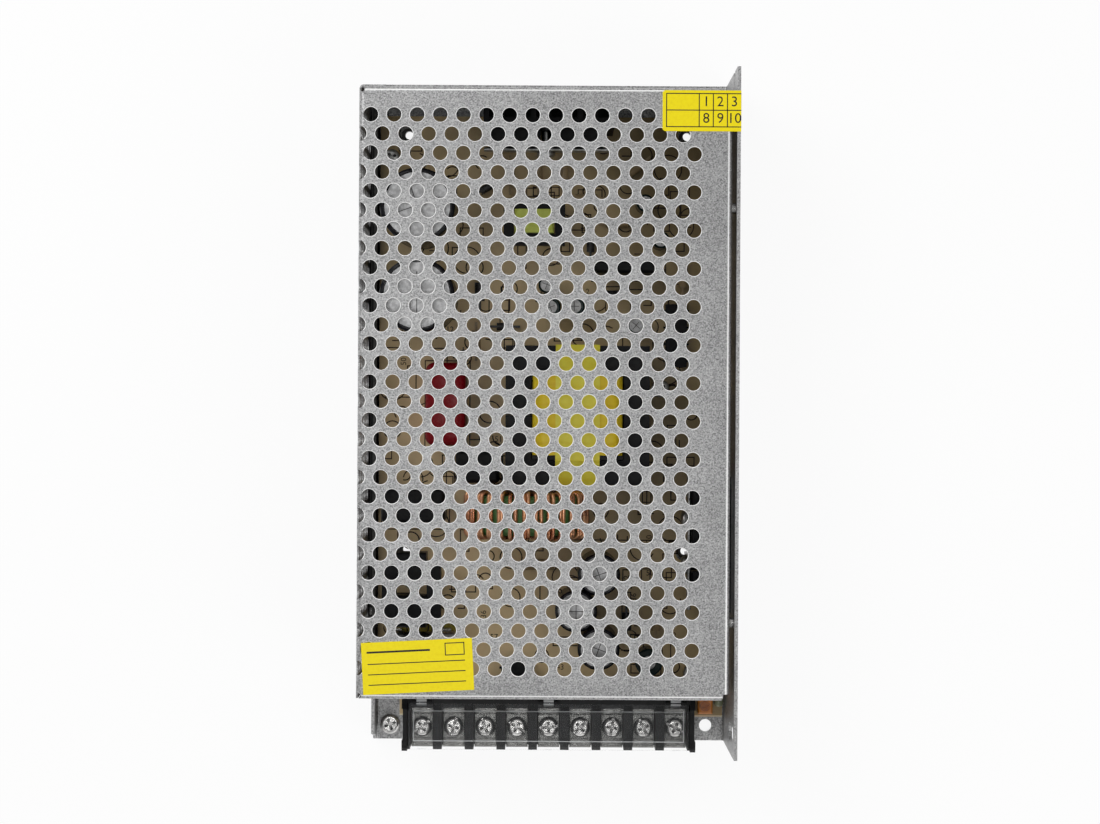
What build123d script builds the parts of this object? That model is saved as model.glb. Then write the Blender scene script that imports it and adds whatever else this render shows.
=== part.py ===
"""Enclosed switching power supply with a perforated cover and a nine way terminal strip.

Millimetres. +Z is up, +Y points to the rear and +X to the side with the full height wall.
The origin is at the middle of the underside, and the terminals are at the front, at -Y.
"""

import math
import os

from build123d import *

os.makedirs("parts", exist_ok=True)

# Case
case_length = 200.0
case_width = 110.0
case_height = 50.0
block_overhang = 1.2
chassis_sheet = 1.0
cover_sheet = 0.6
bend_radius = 1.6
lip_height = 11.0
lip_foot_setback = 1.2
lip_foot_height = 2.6
lip_top_setback = 2.6

front_y = -(case_length + block_overhang) / 2
chassis_front = front_y + block_overhang
chassis_rear = chassis_front + case_length
left_x = -case_width / 2
right_x = case_width / 2

# Cover
cover_front_setback = 17.2
cover_rear_setback = 6.2
cover_wall_gap = 1.4
cover_base_gap = 0.2
lip_end_gap = 0.3
right_flange = 9.0
front_wall_height = 26.0
corner_notch_x = 2.3
corner_notch_y = 0.8
relief_radius = 0.9
relief_depth = 4.0
rear_tab_width = 9.5
rear_tab_drop = 2.0
tab_corner = 1.1

cover_front = chassis_front + cover_front_setback
cover_rear = chassis_rear - cover_rear_setback
cover_right = right_x - chassis_sheet - cover_wall_gap
cover_bottom = chassis_sheet + cover_base_gap
front_wall_bottom = case_height - front_wall_height
lip_x = left_x + cover_sheet + cover_wall_gap
lip_rear = cover_rear - cover_sheet - lip_end_gap

# Perforation of the cover
hole_diameter = 4.35
hole_pitch = 6.66
row_pitch = 5.5
front_margin = 8.9
rear_margin = 8.0
side_margin = 4.3
right_margin = 9.5
wrap_depth = 2.4
hole_sides = 6

row_count = 1 + int((cover_rear - cover_front - front_margin - rear_margin) / row_pitch)
holes_per_row = 1 + int((cover_right - left_x - side_margin - right_margin) / hole_pitch)

# Chassis holes
mount_left_inset = 12.1
mount_right_inset = 13.2
mount_front_inset = 58.0
mount_rear_inset = 15.6
mount_thread_radius = 1.25
collar_radius = 2.3
collar_height = 1.4
ear_hole_side_inset = 6.5
ear_hole_inset = 4.6
ear_hole_radius = 1.9
base_screw_inset = 7.2
wall_slot_width = 5.0
wall_slot_length = 19.0
wall_slot_drop = 4.0
wall_slot_inset = 6.5
wall_notch_height = 4.5
wall_notch_depth = 4.0
wall_notch_drop = 13.5

ear_hole_x = right_x - ear_hole_side_inset
base_screw_x = left_x + base_screw_inset
wall_slot_top = case_height - wall_slot_drop
wall_slot_bottom = wall_slot_top - wall_slot_length
wall_notch_z = case_height - wall_notch_drop

# Fasteners
m3_radius = 1.45
m3_hole_radius = 1.5
pan_head_radius = 3.05
pan_head_height = 2.1
pan_head_round = 1.1
recess_width = 0.9
recess_depth = 1.1
countersink_radius = 2.6
cover_screw_y = 0.3 * case_length
cover_screw_low_z = 4.6
cover_screw_high_z = case_height - 5.5
cover_screw_length = 6.0
cover_dimple_radius = 3.2
seat_gap = 0.05

# Circuit board
board_left_gap = 0.7
board_right_gap = 0.8
board_rear_gap = 3.6
board_front_inset = 9.2
board_bottom = 6.4
board_thickness = 1.6
board_notch_width = 6.7
board_notch_depth = 12.4
board_hole_radius = 3.0
standoff_radius = 2.6
inner_screw_head_radius = 2.7
inner_screw_head_height = 1.7
inner_screw_head_round = 1.0
inner_screw_length = 4.5
insulation_thickness = 0.4
insulation_margin = 4.0
insulation_clearance = 0.7

board_left = lip_x + chassis_sheet + board_left_gap
board_right = right_x - chassis_sheet - board_right_gap
board_front = front_y + board_front_inset
board_rear = cover_rear - cover_sheet - board_rear_gap
board_top = board_bottom + board_thickness
board_notch_x = board_left + board_notch_width
board_notch_y = board_front + board_notch_depth
board_screw_places = (
    (board_left + 3.3, board_rear - 12.7),
    (board_right - 6.2, board_rear - 16.2),
    (34.0, 8.0),
    (board_right - 9.2, board_front + 13.4),
    (board_left + 11.3, board_front + 15.4),
)

# Terminal strip
terminal_count = 9
terminal_pitch = 9.5
strip_centre_x = 0.6
strip_end_margin = 1.05
strip_depth = 17.0
cell_floor = 12.2
barrier_width = 2.6
barrier_top = 20.4
barrier_setback = 0.3
rear_wall_thickness = 4.4
rear_wall_top = 18.6
end_wall = 1.6
end_wall_top = 22.4
end_recess = 0.35
floor_setback = 1.0
screw_hole_clearance = 0.4
screw_hole_floor = 8.8
terminal_inset = 6.7
tongue_width = 6.5
tongue_thickness = 1.0
tongue_lip = 0.7
tongue_drop = 3.0
clamp_width = 6.2
clamp_front = 3.3
clamp_back = 3.6
clamp_thickness = 1.0
clamp_rim = 0.6
clamp_gap = 0.06
screw_head_radius = 2.7
screw_head_height = 2.2
screw_head_round = 0.9
screw_radius = 1.7
screw_fit = 0.06
screw_end = 9.4
screw_slot_width = 0.9
screw_slot_depth = 0.9

terminal_y = front_y + terminal_inset
strip_width = terminal_count * terminal_pitch + 2 * strip_end_margin
strip_rear = front_y + strip_depth
strip_left = strip_centre_x - strip_width / 2
strip_right = strip_centre_x + strip_width / 2
terminal_places = [
    strip_centre_x + (index - (terminal_count - 1) / 2) * terminal_pitch for index in range(terminal_count)
]
tongue_top = cell_floor + tongue_thickness
clamp_bottom = tongue_top + clamp_gap
screw_seat = clamp_bottom + clamp_thickness + clamp_gap

# Hinged terminal cover
hinge_inset = 14.4
hinge_z = 19.4
hinge_pin_radius = 0.7
hinge_fit = 0.06
hinge_ring_radius = 1.35
hinge_ring_width = 3.0
hinge_side_gap = 0.3
hinge_ear_width = 1.4
hinge_ear_radius = 1.1
hinge_ring_opening = 1.1
hinge_slot_floor = 17.7
flap_side_gap = 0.4
flap_bottom_gap = 0.4
flap_thickness = 1.1
flap_rear_offset = 0.3
flap_front_setback = 0.5
flap_panel_height = 0.5
flap_panel_side = 1.4
flap_panel_rear = 1.9
flap_panel_front = 2.5
latch_width = 2.4
latch_thickness = 0.9
latch_drop = 1.8
latch_nub = 0.35
hinge_cells = (0, terminal_count // 2, terminal_count - 1)

hinge_y = front_y + hinge_inset
flap_bottom = barrier_top + flap_bottom_gap
flap_top = flap_bottom + flap_thickness
flap_left = strip_left + end_wall + flap_side_gap
flap_right = strip_right - end_wall - flap_side_gap
flap_rear = hinge_y - flap_rear_offset
flap_front = front_y + flap_front_setback

# Voltage trimmer and indicator lamp
trimmer_x = strip_right + 3.4
trimmer_width = 4.4
trimmer_front = front_y + 10.6
trimmer_depth = 6.2
trimmer_height = 5.4
rotor_radius = 1.6
rotor_fit = 0.05
rotor_height = 1.3
rotor_pocket = 0.8
rotor_y = trimmer_front + 2.4
lamp_x = strip_right + 7.6
lamp_y = front_y + 14.0
lamp_radius = 1.4
lamp_height = 4.6
part_lift = 0.2

# Bulk capacitors
bulk_radius = 11.0
bulk_headroom = 9.0
bulk_height = case_height - board_top - bulk_headroom
bulk_places = ((board_left + 12.8, board_rear - 29.4), (board_left + 12.8, board_rear - 55.6))
bulk_groove = 0.5
bulk_groove_height = 3.5
bulk_top_round = 1.0
vent_width = 0.6
vent_depth = 0.3

# Main transformer
main_x = 8.6
main_y = -0.2
main_core_width = 42.4
main_core_length = 41.0
main_core_height = 20.0
main_core_bottom = 13.0
main_leg = 7.6
main_back = 7.2
main_centre_leg = 11.5
main_core_split = 0.1
main_winding_height = 27.0
main_winding_bottom = 9.8
main_winding_round = 3.0
main_tube_wall = 1.2
main_flange = 1.2
main_fit = 0.3
main_rail_height = 4.2
main_rail_depth = 5.0
main_rail_width = 34.0
main_rail_inner = 7.0
core_tape_width = 13.0
core_tape_thickness = 0.2

# Small transformer
small_x = -4.5
small_y = board_rear - 32.5
small_core_width = 18.4
small_core_length = 14.0
small_core_height = 6.0
small_core_bottom = 13.5
small_leg = 3.0
small_back = 3.2
small_centre_leg = 5.0
small_winding_height = 14.0
small_winding_bottom = 9.2

# Output choke, a toroid that stands on its rim
choke_x = -6.3
choke_y = board_front + 61.8
choke_outer = 17.2
choke_inner = 9.9
choke_depth = 11.4
choke_wire = 1.5
choke_turns = 26
choke_gap_angle = 40.0
choke_slack = 0.15
choke_round = 1.0

choke_z = board_top + part_lift + choke_outer + choke_slack + choke_wire

# Filter choke, a closed square core with two coils
filter_x = board_left + 10.7
filter_y = board_front + 38.9
filter_width = 17.6
filter_depth = 17.0
filter_leg = 4.2
filter_core_bottom = 15.5
filter_core_height = 6.0
filter_coil_length = 9.0
filter_coil_wall = 2.6
filter_coil_fit = 0.1
filter_foot = 1.4

# Box shaped parts: x range, y range and height above the board
film_box = (-36.6, -24.6, -9.4, 15.3, 18.0)
x_capacitor_box = (board_left + 1.7, board_left + 20.7, board_front + 59.0, board_front + 69.0, 16.0)
relay_box = (-27.6, -14.6, -20.6, -11.2, 14.0)
bridge_box = (13.2, 32.0, 42.2, 46.0, 18.0)
box_round = 1.2
film_round = 2.6
bridge_lead_pitch = 5.0
lead_radius = 0.5
lead_length = 3.0

# Round capacitors: x, y, radius and height
output_capacitor_places = (
    (15.2, board_front + 44.3, 6.2, 25.0),
    (8.5, board_front + 33.5, 6.2, 25.0),
    (15.2, board_front + 22.4, 6.2, 25.0),
)
small_capacitor_places = (
    (0.4, 32.1, 3.1, 12.0),
    (7.6, 32.4, 3.1, 12.0),
    (-0.6, 38.9, 2.6, 11.0),
    (26.1, 26.8, 3.1, 12.0),
    (28.6, board_rear - 26.7, 2.6, 11.0),
    (33.4, board_rear - 37.7, 2.6, 11.0),
    (30.5, board_front + 17.4, 4.1, 12.0),
)

# Rear heat sink with the primary power devices
sink_left = -19.6
sink_right = 19.0
sink_front = board_rear - 5.6
sink_height = 22.0
sink_back = 3.2
sink_fin = 1.6
sink_fin_count = 9
sink_wall_gap = 0.3
primary_places = (-10.6, 8.4)
device_width = 15.6
device_depth = 4.8
device_height = 19.0
device_gap = 0.05
clamp_bar_depth = 1.2
clamp_bar_height = 5.0
clamp_bar_lift = 9.0
clamp_bar_hole = 1.7
clamp_screw_bite = 2.8
rear_clamp_screw_x = -1.1

rear_bar_front = sink_front - device_depth - 2 * device_gap - clamp_bar_depth

# Output heat sink with the rectifiers along the right wall
output_sink_front = board_front + 33.4
output_sink_rear = board_front + 73.4
output_sink_depth = 6.6
output_sink_height = 24.0
output_sink_chamfer = 0.8
rectifier_pitch = 13.5
rectifier_width = 10.0
rectifier_depth = 4.5
rectifier_height = 16.0

output_sink_middle = (output_sink_front + output_sink_rear) / 2
rectifier_places = [output_sink_middle + index * rectifier_pitch for index in (1, 0, -1)]
side_clamp_screw_places = [output_sink_middle + side * rectifier_pitch / 2 for side in (1, -1)]
output_sink_left = right_x - chassis_sheet - output_sink_depth
side_bar_left = output_sink_left - rectifier_depth - 2 * device_gap - clamp_bar_depth

# Fuse under the plain label
fuse_x = board_left + 13.3
fuse_y = board_front + 23.4
fuse_radius = 2.6
fuse_length = 20.0
fuse_cap_length = 5.0
fuse_cap_step = 0.3
fuse_lift = 3.6
clip_width = 3.0
clip_thickness = 0.6

# Small wired parts: x, y, turn about the vertical, body radius and body length
resistor_places = (
    (11.0, board_rear - 24.7, 0.0, 1.3, 6.5),
    (20.5, board_rear - 32.2, 0.0, 1.3, 6.5),
    (-12.0, board_rear - 17.7, 90.0, 1.3, 6.5),
    (-3.5, board_rear - 17.7, 90.0, 1.3, 6.5),
    (4.5, board_rear - 17.7, 90.0, 1.3, 6.5),
    (26.0, board_rear - 15.7, 40.0, 1.3, 6.5),
    (-22.0, 22.0, 90.0, 1.3, 6.5),
    (-2.5, board_front + 45.9, 0.0, 1.6, 9.0),
    (33.0, board_front + 29.4, 90.0, 1.3, 6.5),
    (40.5, 42.0, 90.0, 1.3, 6.5),
)
diode_places = (
    (-21.0, 37.0, 90.0, 1.5, 5.5),
    (12.5, board_rear - 38.7, 90.0, 1.2, 4.5),
    (19.5, 36.5, 0.0, 1.2, 4.5),
    (-19.0, board_rear - 21.7, 30.0, 1.2, 4.5),
    (24.0, board_front + 28.9, 90.0, 1.5, 5.5),
    (-13.5, 26.5, 0.0, 1.2, 4.5),
)
wired_lead_radius = 0.35
wired_lead_reach = 2.2
chip_places = ((38.5, 24.0, 6.4, 19.0), (-9.0, board_front + 13.4, 9.5, 6.4))
chip_height = 3.4
chip_lift = 0.6
chip_leg = 0.5

# Labels
label_thickness = 0.15
grid_label_reach = 22.0
grid_label_rear_margin = 0.8
grid_label_depth = 11.8
plain_label_centre = (left_x + 17.8, cover_front + 9.5)
plain_label_width = 32.0
plain_label_depth = 15.0
plain_label_turn = 3.0


def block(x0, x1, y0, y1, z0, z1):
    """Box between two opposite corners."""
    return Pos((x0 + x1) / 2, (y0 + y1) / 2, (z0 + z1) / 2) * Box(x1 - x0, y1 - y0, z1 - z0)


def column(x, y, radius, z0, z1):
    """Upright cylinder."""
    return Pos(x, y, (z0 + z1) / 2) * Cylinder(radius, z1 - z0)


def bar_along_x(x0, x1, y, z, radius):
    """Cylinder lying along X."""
    return Pos((x0 + x1) / 2, y, z) * Rot(0, 90, 0) * Cylinder(radius, x1 - x0)


def prism_along_y(profile, y_front, y_rear):
    """Extrude a profile drawn in X and Z between two places on Y."""
    plane = Plane(origin=(0, y_rear, 0), x_dir=(1, 0, 0), z_dir=(0, -1, 0))
    return extrude(plane * profile, amount=y_rear - y_front)


def prism_along_x(profile, x_left, x_right):
    """Extrude a profile drawn in Y and Z between two places on X."""
    plane = Plane(origin=(x_left, 0, 0), x_dir=(0, 1, 0), z_dir=(1, 0, 0))
    return extrude(plane * profile, amount=x_right - x_left)


def polygon(*points):
    """Face with straight sides."""
    return make_face(Polyline(*points, close=True))


def top_edges(solid):
    """Edges round the highest face."""
    return solid.faces().sort_by(Axis.Z)[-1].edges()


def save(node, *solids):
    """Write one node, which holds one solid or a group of separate ones."""
    parts = [single for solid in solids for single in solid.solids()]
    shape = parts[0] if len(parts) == 1 else Compound(parts)
    export_step(shape, f"parts/{node}.step")


def cross_recess(radius, z_top, depth, width, turn):
    """Cutter for a cross recess in a screw head, centred on the origin."""
    arm = block(-radius, radius, -width / 2, width / 2, z_top - depth, z_top + 1)
    return Rot(0, 0, turn) * (arm + Rot(0, 0, 90) * arm)


def pan_head(radius, height, rounding):
    """Screw head with a domed top, standing on the origin."""
    head = column(0, 0, radius, 0, height)
    return fillet(top_edges(head), rounding)


def mount_places():
    """Centres of the four tapped holes in the base."""
    return [
        (x, y)
        for x in (left_x + mount_left_inset, right_x - mount_right_inset)
        for y in (chassis_front + mount_front_inset, chassis_rear - mount_rear_inset)
    ]


def chassis():
    """One folded sheet: base, low left lip and full height right wall."""
    outline = FilletPolyline((lip_x, lip_height), (lip_x, 0), (right_x, 0), (right_x, case_height), radius=bend_radius)
    profile = make_face(outline.offset_2d(chassis_sheet, side=Side.LEFT))
    sheet = prism_along_y(profile, chassis_front, chassis_rear)

    front_corner = polygon(
        (chassis_front, chassis_sheet),
        (chassis_front + lip_foot_setback, lip_foot_height),
        (chassis_front + lip_top_setback, lip_height),
        (chassis_front + lip_top_setback, lip_height + 1),
        (chassis_front - 1, lip_height + 1),
        (chassis_front - 1, chassis_sheet),
    )
    sheet -= prism_along_x(front_corner, lip_x - 1, lip_x + bend_radius)
    sheet -= block(lip_x - 1, lip_x + bend_radius, lip_rear, chassis_rear + 1, chassis_sheet, lip_height + 1)

    for x, y in mount_places():
        sheet += column(x, y, collar_radius, chassis_sheet / 2, chassis_sheet + collar_height)
        sheet -= column(x, y, mount_thread_radius, -1, chassis_sheet + collar_height + 1)
    ear_y = chassis_front + ear_hole_inset
    sheet -= column(ear_hole_x, ear_y, ear_hole_radius, -1, 2)
    sheet -= column(base_screw_x, ear_y, m3_hole_radius, -1, 2)

    slot_y = chassis_front + wall_slot_inset
    slot_z = (wall_slot_bottom + wall_slot_top) / 2
    slot = Pos(slot_y, slot_z) * Rot(0, 0, 90) * SlotOverall(wall_slot_top - wall_slot_bottom, wall_slot_width)
    sheet -= prism_along_x(slot, right_x - 2, right_x + 1)
    notch = Pos(chassis_rear, wall_notch_z) * SlotOverall(2 * wall_notch_depth, wall_notch_height)
    sheet -= prism_along_x(notch, right_x - 2, right_x + 1)

    for side in (-1, 1):
        y = side * cover_screw_y
        sheet -= bar_along_x(lip_x - 1, lip_x + 2, y, cover_screw_low_z, m3_hole_radius)
        sheet -= screw_cone(right_x, y, cover_screw_high_z, 1, 0)
    return sheet


def screw_cone(x, y, z, side, shrink):
    """Countersunk head that is flush with a wall at x, on the side that it points to."""
    depth = chassis_sheet
    cone = Cone(m3_hole_radius - shrink, countersink_radius - shrink, depth)
    if side > 0:
        return Pos(x - depth / 2, y, z) * Rot(0, 90, 0) * cone
    return Pos(x + depth / 2, y, z) * Rot(0, -90, 0) * cone


def cover_hole_places():
    """Centres of the holes in the top, row by row; every other row starts on the left bend."""
    for row in range(row_count):
        y = cover_front + front_margin + row * row_pitch
        wrapped = row % 2 == 0
        start = left_x + side_margin - (hole_pitch / 2 if wrapped else 0)
        for column_index in range(holes_per_row):
            yield start + column_index * hole_pitch, y, wrapped and column_index == 0


def cover():
    """One folded sheet that closes the top, the left side and both ends."""
    outer = block(left_x, cover_right, cover_front, cover_rear, cover_bottom, case_height)
    outer = fillet(top_edges(outer), bend_radius)
    inner = block(
        left_x + cover_sheet,
        cover_right - cover_sheet,
        cover_front + cover_sheet,
        cover_rear - cover_sheet,
        cover_bottom - 1,
        case_height - cover_sheet,
    )
    shell = outer - fillet(top_edges(inner), bend_radius - cover_sheet)

    flange_bottom = case_height - right_flange
    shell -= block(cover_right - 2 * cover_sheet, right_x, cover_front - 1, cover_rear + 1, 0, flange_bottom)
    shell -= block(
        left_x + cover_sheet, right_x, cover_front - 1, cover_front + 1.5 * cover_sheet, 0, front_wall_bottom
    )
    notch_x = cover_right - corner_notch_x
    for y0, y1 in (
        (cover_front - 1, cover_front + corner_notch_y),
        (cover_rear - corner_notch_y, cover_rear + 1),
    ):
        shell -= block(notch_x, right_x, y0, y1, 0, case_height + 1)
    relief_bottom = case_height - relief_depth
    shell -= column(left_x + relief_radius / 2, cover_front + relief_radius / 2, relief_radius, relief_bottom, case_height + 1)

    tab_outline = polygon(
        (left_x, cover_bottom),
        (left_x + rear_tab_width, cover_bottom),
        (left_x + rear_tab_width, case_height - 2 * rear_tab_drop),
        (left_x + rear_tab_width - rear_tab_drop, case_height - rear_tab_drop),
        (left_x, case_height - rear_tab_drop),
    )
    tab = prism_along_y(tab_outline, cover_rear - cover_sheet, cover_rear + cover_sheet)
    rear_left = tab.edges().filter_by(Axis.Z).group_by(Axis.X)[0].sort_by(Axis.Y)[-1]
    shell += fillet(rear_left, tab_corner)
    shell -= column(left_x + relief_radius / 2, cover_rear, relief_radius, relief_bottom, case_height + 1)

    for side in (-1, 1):
        y = side * cover_screw_y
        left_dimple = bar_along_x(left_x + cover_sheet / 2, lip_x, y, cover_screw_low_z, cover_dimple_radius)
        shell += left_dimple - bar_along_x(left_x, lip_x + 1, y, cover_screw_low_z, m3_hole_radius)
        shell -= screw_cone(left_x, y, cover_screw_low_z, -1, 0)
        inner_x = right_x - chassis_sheet
        shell += bar_along_x(cover_right - cover_sheet / 2, inner_x, y, cover_screw_high_z, cover_dimple_radius)
        shell -= bar_along_x(cover_right - 2, right_x, y, cover_screw_high_z, m3_hole_radius)

    hole = RegularPolygon(hole_radius(), hole_sides)
    cutters = []
    for x, y, wrapped in cover_hole_places():
        depth = wrap_depth if wrapped else cover_sheet + 0.3
        cutters.append(Pos(x, y, case_height - depth) * extrude(hole, amount=depth + 0.5))
    return shell.cut(*cutters)


def hole_radius():
    """Corner radius of the polygon that has the area of one round hole."""
    sector = math.sin(2 * math.pi / hole_sides) / 2
    return hole_diameter / 2 * math.sqrt(math.pi / (hole_sides * sector))


def cover_screws():
    """Two flush screws through each side wall."""
    screws = []
    for side in (-1, 1):
        y = side * cover_screw_y
        head = screw_cone(left_x, y, cover_screw_low_z, -1, seat_gap)
        shank = bar_along_x(
            left_x + chassis_sheet, left_x + cover_screw_length, y, cover_screw_low_z, m3_radius
        )
        recess = cross_recess(1.4, 0, 0.6, 0.6, 45)
        screws.append(head + shank - Pos(left_x, y, cover_screw_low_z) * Rot(0, -90, 0) * recess)
        head = screw_cone(right_x, y, cover_screw_high_z, 1, seat_gap)
        shank = bar_along_x(
            right_x - cover_screw_length, right_x - chassis_sheet, y, cover_screw_high_z, m3_radius
        )
        screws.append(head + shank - Pos(right_x, y, cover_screw_high_z) * Rot(0, 90, 0) * recess)
    return screws


def base_screw():
    """Pan head screw in the tapped hole at the front left corner of the base."""
    head = pan_head(pan_head_radius, pan_head_height, pan_head_round)
    head -= cross_recess(pan_head_radius * 0.6, pan_head_height, recess_depth, recess_width, 20)
    shank = column(0, 0, m3_radius, -chassis_sheet + 0.1, 0)
    return Pos(base_screw_x, chassis_front + ear_hole_inset, chassis_sheet) * (head + shank)


def circuit_board():
    """Single sided board with a cut away front left corner."""
    board = block(board_left, board_right, board_front, board_rear, board_bottom, board_top)
    board -= block(board_left - 1, board_notch_x, board_front - 1, board_notch_y, 0, board_top + 1)
    for x, y in mount_places():
        board -= column(x, y, board_hole_radius, 0, board_top + 1)
    for x, y in board_screw_places:
        board -= column(x, y, m3_hole_radius, 0, board_top + 1)
    return board


def insulation_sheet():
    """Thin sheet on the base under the board."""
    sheet = block(
        board_left + insulation_margin,
        board_right - insulation_margin,
        board_front + insulation_margin,
        board_rear - insulation_margin,
        chassis_sheet,
        chassis_sheet + insulation_thickness,
    )
    corner_y = board_notch_y + insulation_margin
    sheet -= block(board_left, board_notch_x + insulation_margin, board_front, corner_y, 0, 3)
    for x, y in mount_places():
        sheet -= column(x, y, collar_radius + insulation_clearance, 0, 3)
    for x, y in board_screw_places:
        sheet -= column(x, y, standoff_radius + insulation_clearance, 0, 3)
    return sheet


def board_standoffs():
    """Tapped spacers between the base and the board."""
    return [
        column(x, y, standoff_radius, chassis_sheet, board_bottom)
        - column(x, y, m3_hole_radius, chassis_sheet, board_bottom)
        for x, y in board_screw_places
    ]


def inner_screw(length):
    """Pan head screw inside the case, its head standing on the origin."""
    head = pan_head(inner_screw_head_radius, inner_screw_head_height, inner_screw_head_round)
    head -= cross_recess(inner_screw_head_radius * 0.6, inner_screw_head_height, recess_depth, recess_width, 30)
    return head + column(0, 0, m3_radius, -length, 0)


def inner_screws():
    """Screws that hold the board on its spacers and the clamp bars on the heat sinks."""
    board_screw = inner_screw(inner_screw_length)
    screws = [Pos(x, y, board_top) * board_screw for x, y in board_screw_places]
    z = board_top + clamp_bar_lift + clamp_bar_height / 2
    rear_screw = inner_screw(device_depth + clamp_bar_depth + clamp_screw_bite)
    screws.append(Pos(rear_clamp_screw_x, rear_bar_front, z) * Rot(90, 0, 0) * rear_screw)
    side_screw = inner_screw(rectifier_depth + clamp_bar_depth + clamp_screw_bite)
    for y in side_clamp_screw_places:
        screws.append(Pos(side_bar_left, y, z) * Rot(0, -90, 0) * side_screw)
    return screws


def terminal_block():
    """Moulded strip with a barrier each side of every terminal and hinge ears at the back."""
    floor_front = front_y + floor_setback
    wall_front = strip_rear - rear_wall_thickness
    base = polygon(
        (strip_rear, board_top),
        (strip_rear, rear_wall_top),
        (wall_front, rear_wall_top),
        (wall_front, cell_floor),
        (floor_front, cell_floor),
        (floor_front, board_top + 1.5),
        (floor_front + 1.5, board_top),
    )
    body = prism_along_x(base, strip_left, strip_right)

    barrier_front = front_y + barrier_setback
    barrier = polygon(
        (wall_front + 1, board_top),
        (wall_front + 1, rear_wall_top),
        (wall_front - 0.6, barrier_top),
        (barrier_front + 1, barrier_top),
        (barrier_front, barrier_top - 1),
        (barrier_front, board_top + 0.6),
        (barrier_front + 0.6, board_top),
    )
    for left_cell in terminal_places[:-1]:
        middle = left_cell + terminal_pitch / 2
        body += prism_along_x(barrier, middle - barrier_width / 2, middle + barrier_width / 2)

    ledge = terminal_places[0] - terminal_pitch / 2 + barrier_width / 2 - strip_left
    end = polygon(
        (strip_rear, board_top),
        (strip_rear, barrier_top),
        (wall_front, end_wall_top),
        (front_y + 1, end_wall_top),
        (front_y, end_wall_top - 1),
        (front_y, board_top),
    )
    for outer, inner, step in ((strip_left, strip_left + end_wall, 1), (strip_right - end_wall, strip_right, -1)):
        body += prism_along_x(end, outer, inner)
        ledge_x = sorted((outer, outer + ledge)) if step > 0 else sorted((inner, inner - ledge))
        body += prism_along_x(barrier, *ledge_x)
    recess = block(strip_left - 1, strip_left + end_recess, terminal_y - 3.5, wall_front, 0, 30)
    body -= recess
    body -= Pos(strip_right - strip_left + 1 - end_recess, 0, 0) * recess

    for x in terminal_places:
        body -= column(x, terminal_y, screw_radius + screw_hole_clearance, screw_hole_floor, cell_floor + 1)
    for cell in hinge_cells:
        x = terminal_places[cell]
        half = hinge_ring_width / 2 + hinge_side_gap
        body -= block(x - half, x + half, wall_front - 2, strip_rear + 1, hinge_slot_floor, rear_wall_top + 1)
        body += hinge_ears(x)
    return body


def hinge_ears(x):
    """Two rounded ears with a cross pin, and the slot between them that clears the clip."""
    half_gap = hinge_ring_width / 2 + hinge_side_gap
    reach = half_gap + hinge_ear_width
    profile = Pos(hinge_y, hinge_z) * Circle(hinge_ear_radius)
    profile += Pos(hinge_y, (hinge_z + hinge_slot_floor) / 2) * Rectangle(
        2 * hinge_ear_radius, hinge_z - hinge_slot_floor
    )
    ears = prism_along_x(profile, x - reach, x - half_gap)
    ears += prism_along_x(profile, x + half_gap, x + reach)
    return ears + bar_along_x(x - reach + 0.2, x + reach - 0.2, hinge_y, hinge_z, hinge_pin_radius)


def terminal_plates():
    """Flat tongues in the cells, bent down over the front of the strip."""
    floor_front = front_y + floor_setback
    wall_front = strip_rear - rear_wall_thickness
    side = polygon(
        (wall_front - 0.1, cell_floor),
        (wall_front - 0.1, tongue_top),
        (floor_front - tongue_lip + 0.5, tongue_top),
        (floor_front - tongue_lip, tongue_top - 0.5),
        (floor_front - tongue_lip, tongue_top - tongue_drop),
        (floor_front, tongue_top - tongue_drop),
        (floor_front, cell_floor),
    )
    return [
        prism_along_x(side, x - tongue_width / 2, x + tongue_width / 2)
        - column(x, terminal_y, screw_radius + screw_fit, cell_floor - 1, tongue_top + 1)
        for x in terminal_places
    ]


def terminal_clamp(x):
    """Square washer with raised corners that rises with its screw."""
    top = clamp_bottom + clamp_thickness
    washer = block(
        x - clamp_width / 2, x + clamp_width / 2, terminal_y - clamp_front, terminal_y + clamp_back,
        clamp_bottom, top + clamp_rim,
    )
    washer -= column(x, terminal_y, screw_head_radius + 0.3, top, top + 2)
    return washer - column(x, terminal_y, screw_radius + screw_fit, clamp_bottom - 1, top + 1)


def terminal_screw(x, turn):
    """Pan head screw with a cross recess and one long slot."""
    head = pan_head(screw_head_radius, screw_head_height, screw_head_round)
    head -= cross_recess(screw_head_radius * 0.62, screw_head_height, recess_depth, recess_width, turn)
    head -= Rot(0, 0, turn) * block(
        -screw_head_radius - 1, screw_head_radius + 1, -screw_slot_width / 2, screw_slot_width / 2,
        screw_head_height - screw_slot_depth, screw_head_height + 1,
    )
    shank = column(0, 0, screw_radius, screw_end - screw_seat, 0)
    return Pos(x, terminal_y, screw_seat) * (head + shank)


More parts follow.
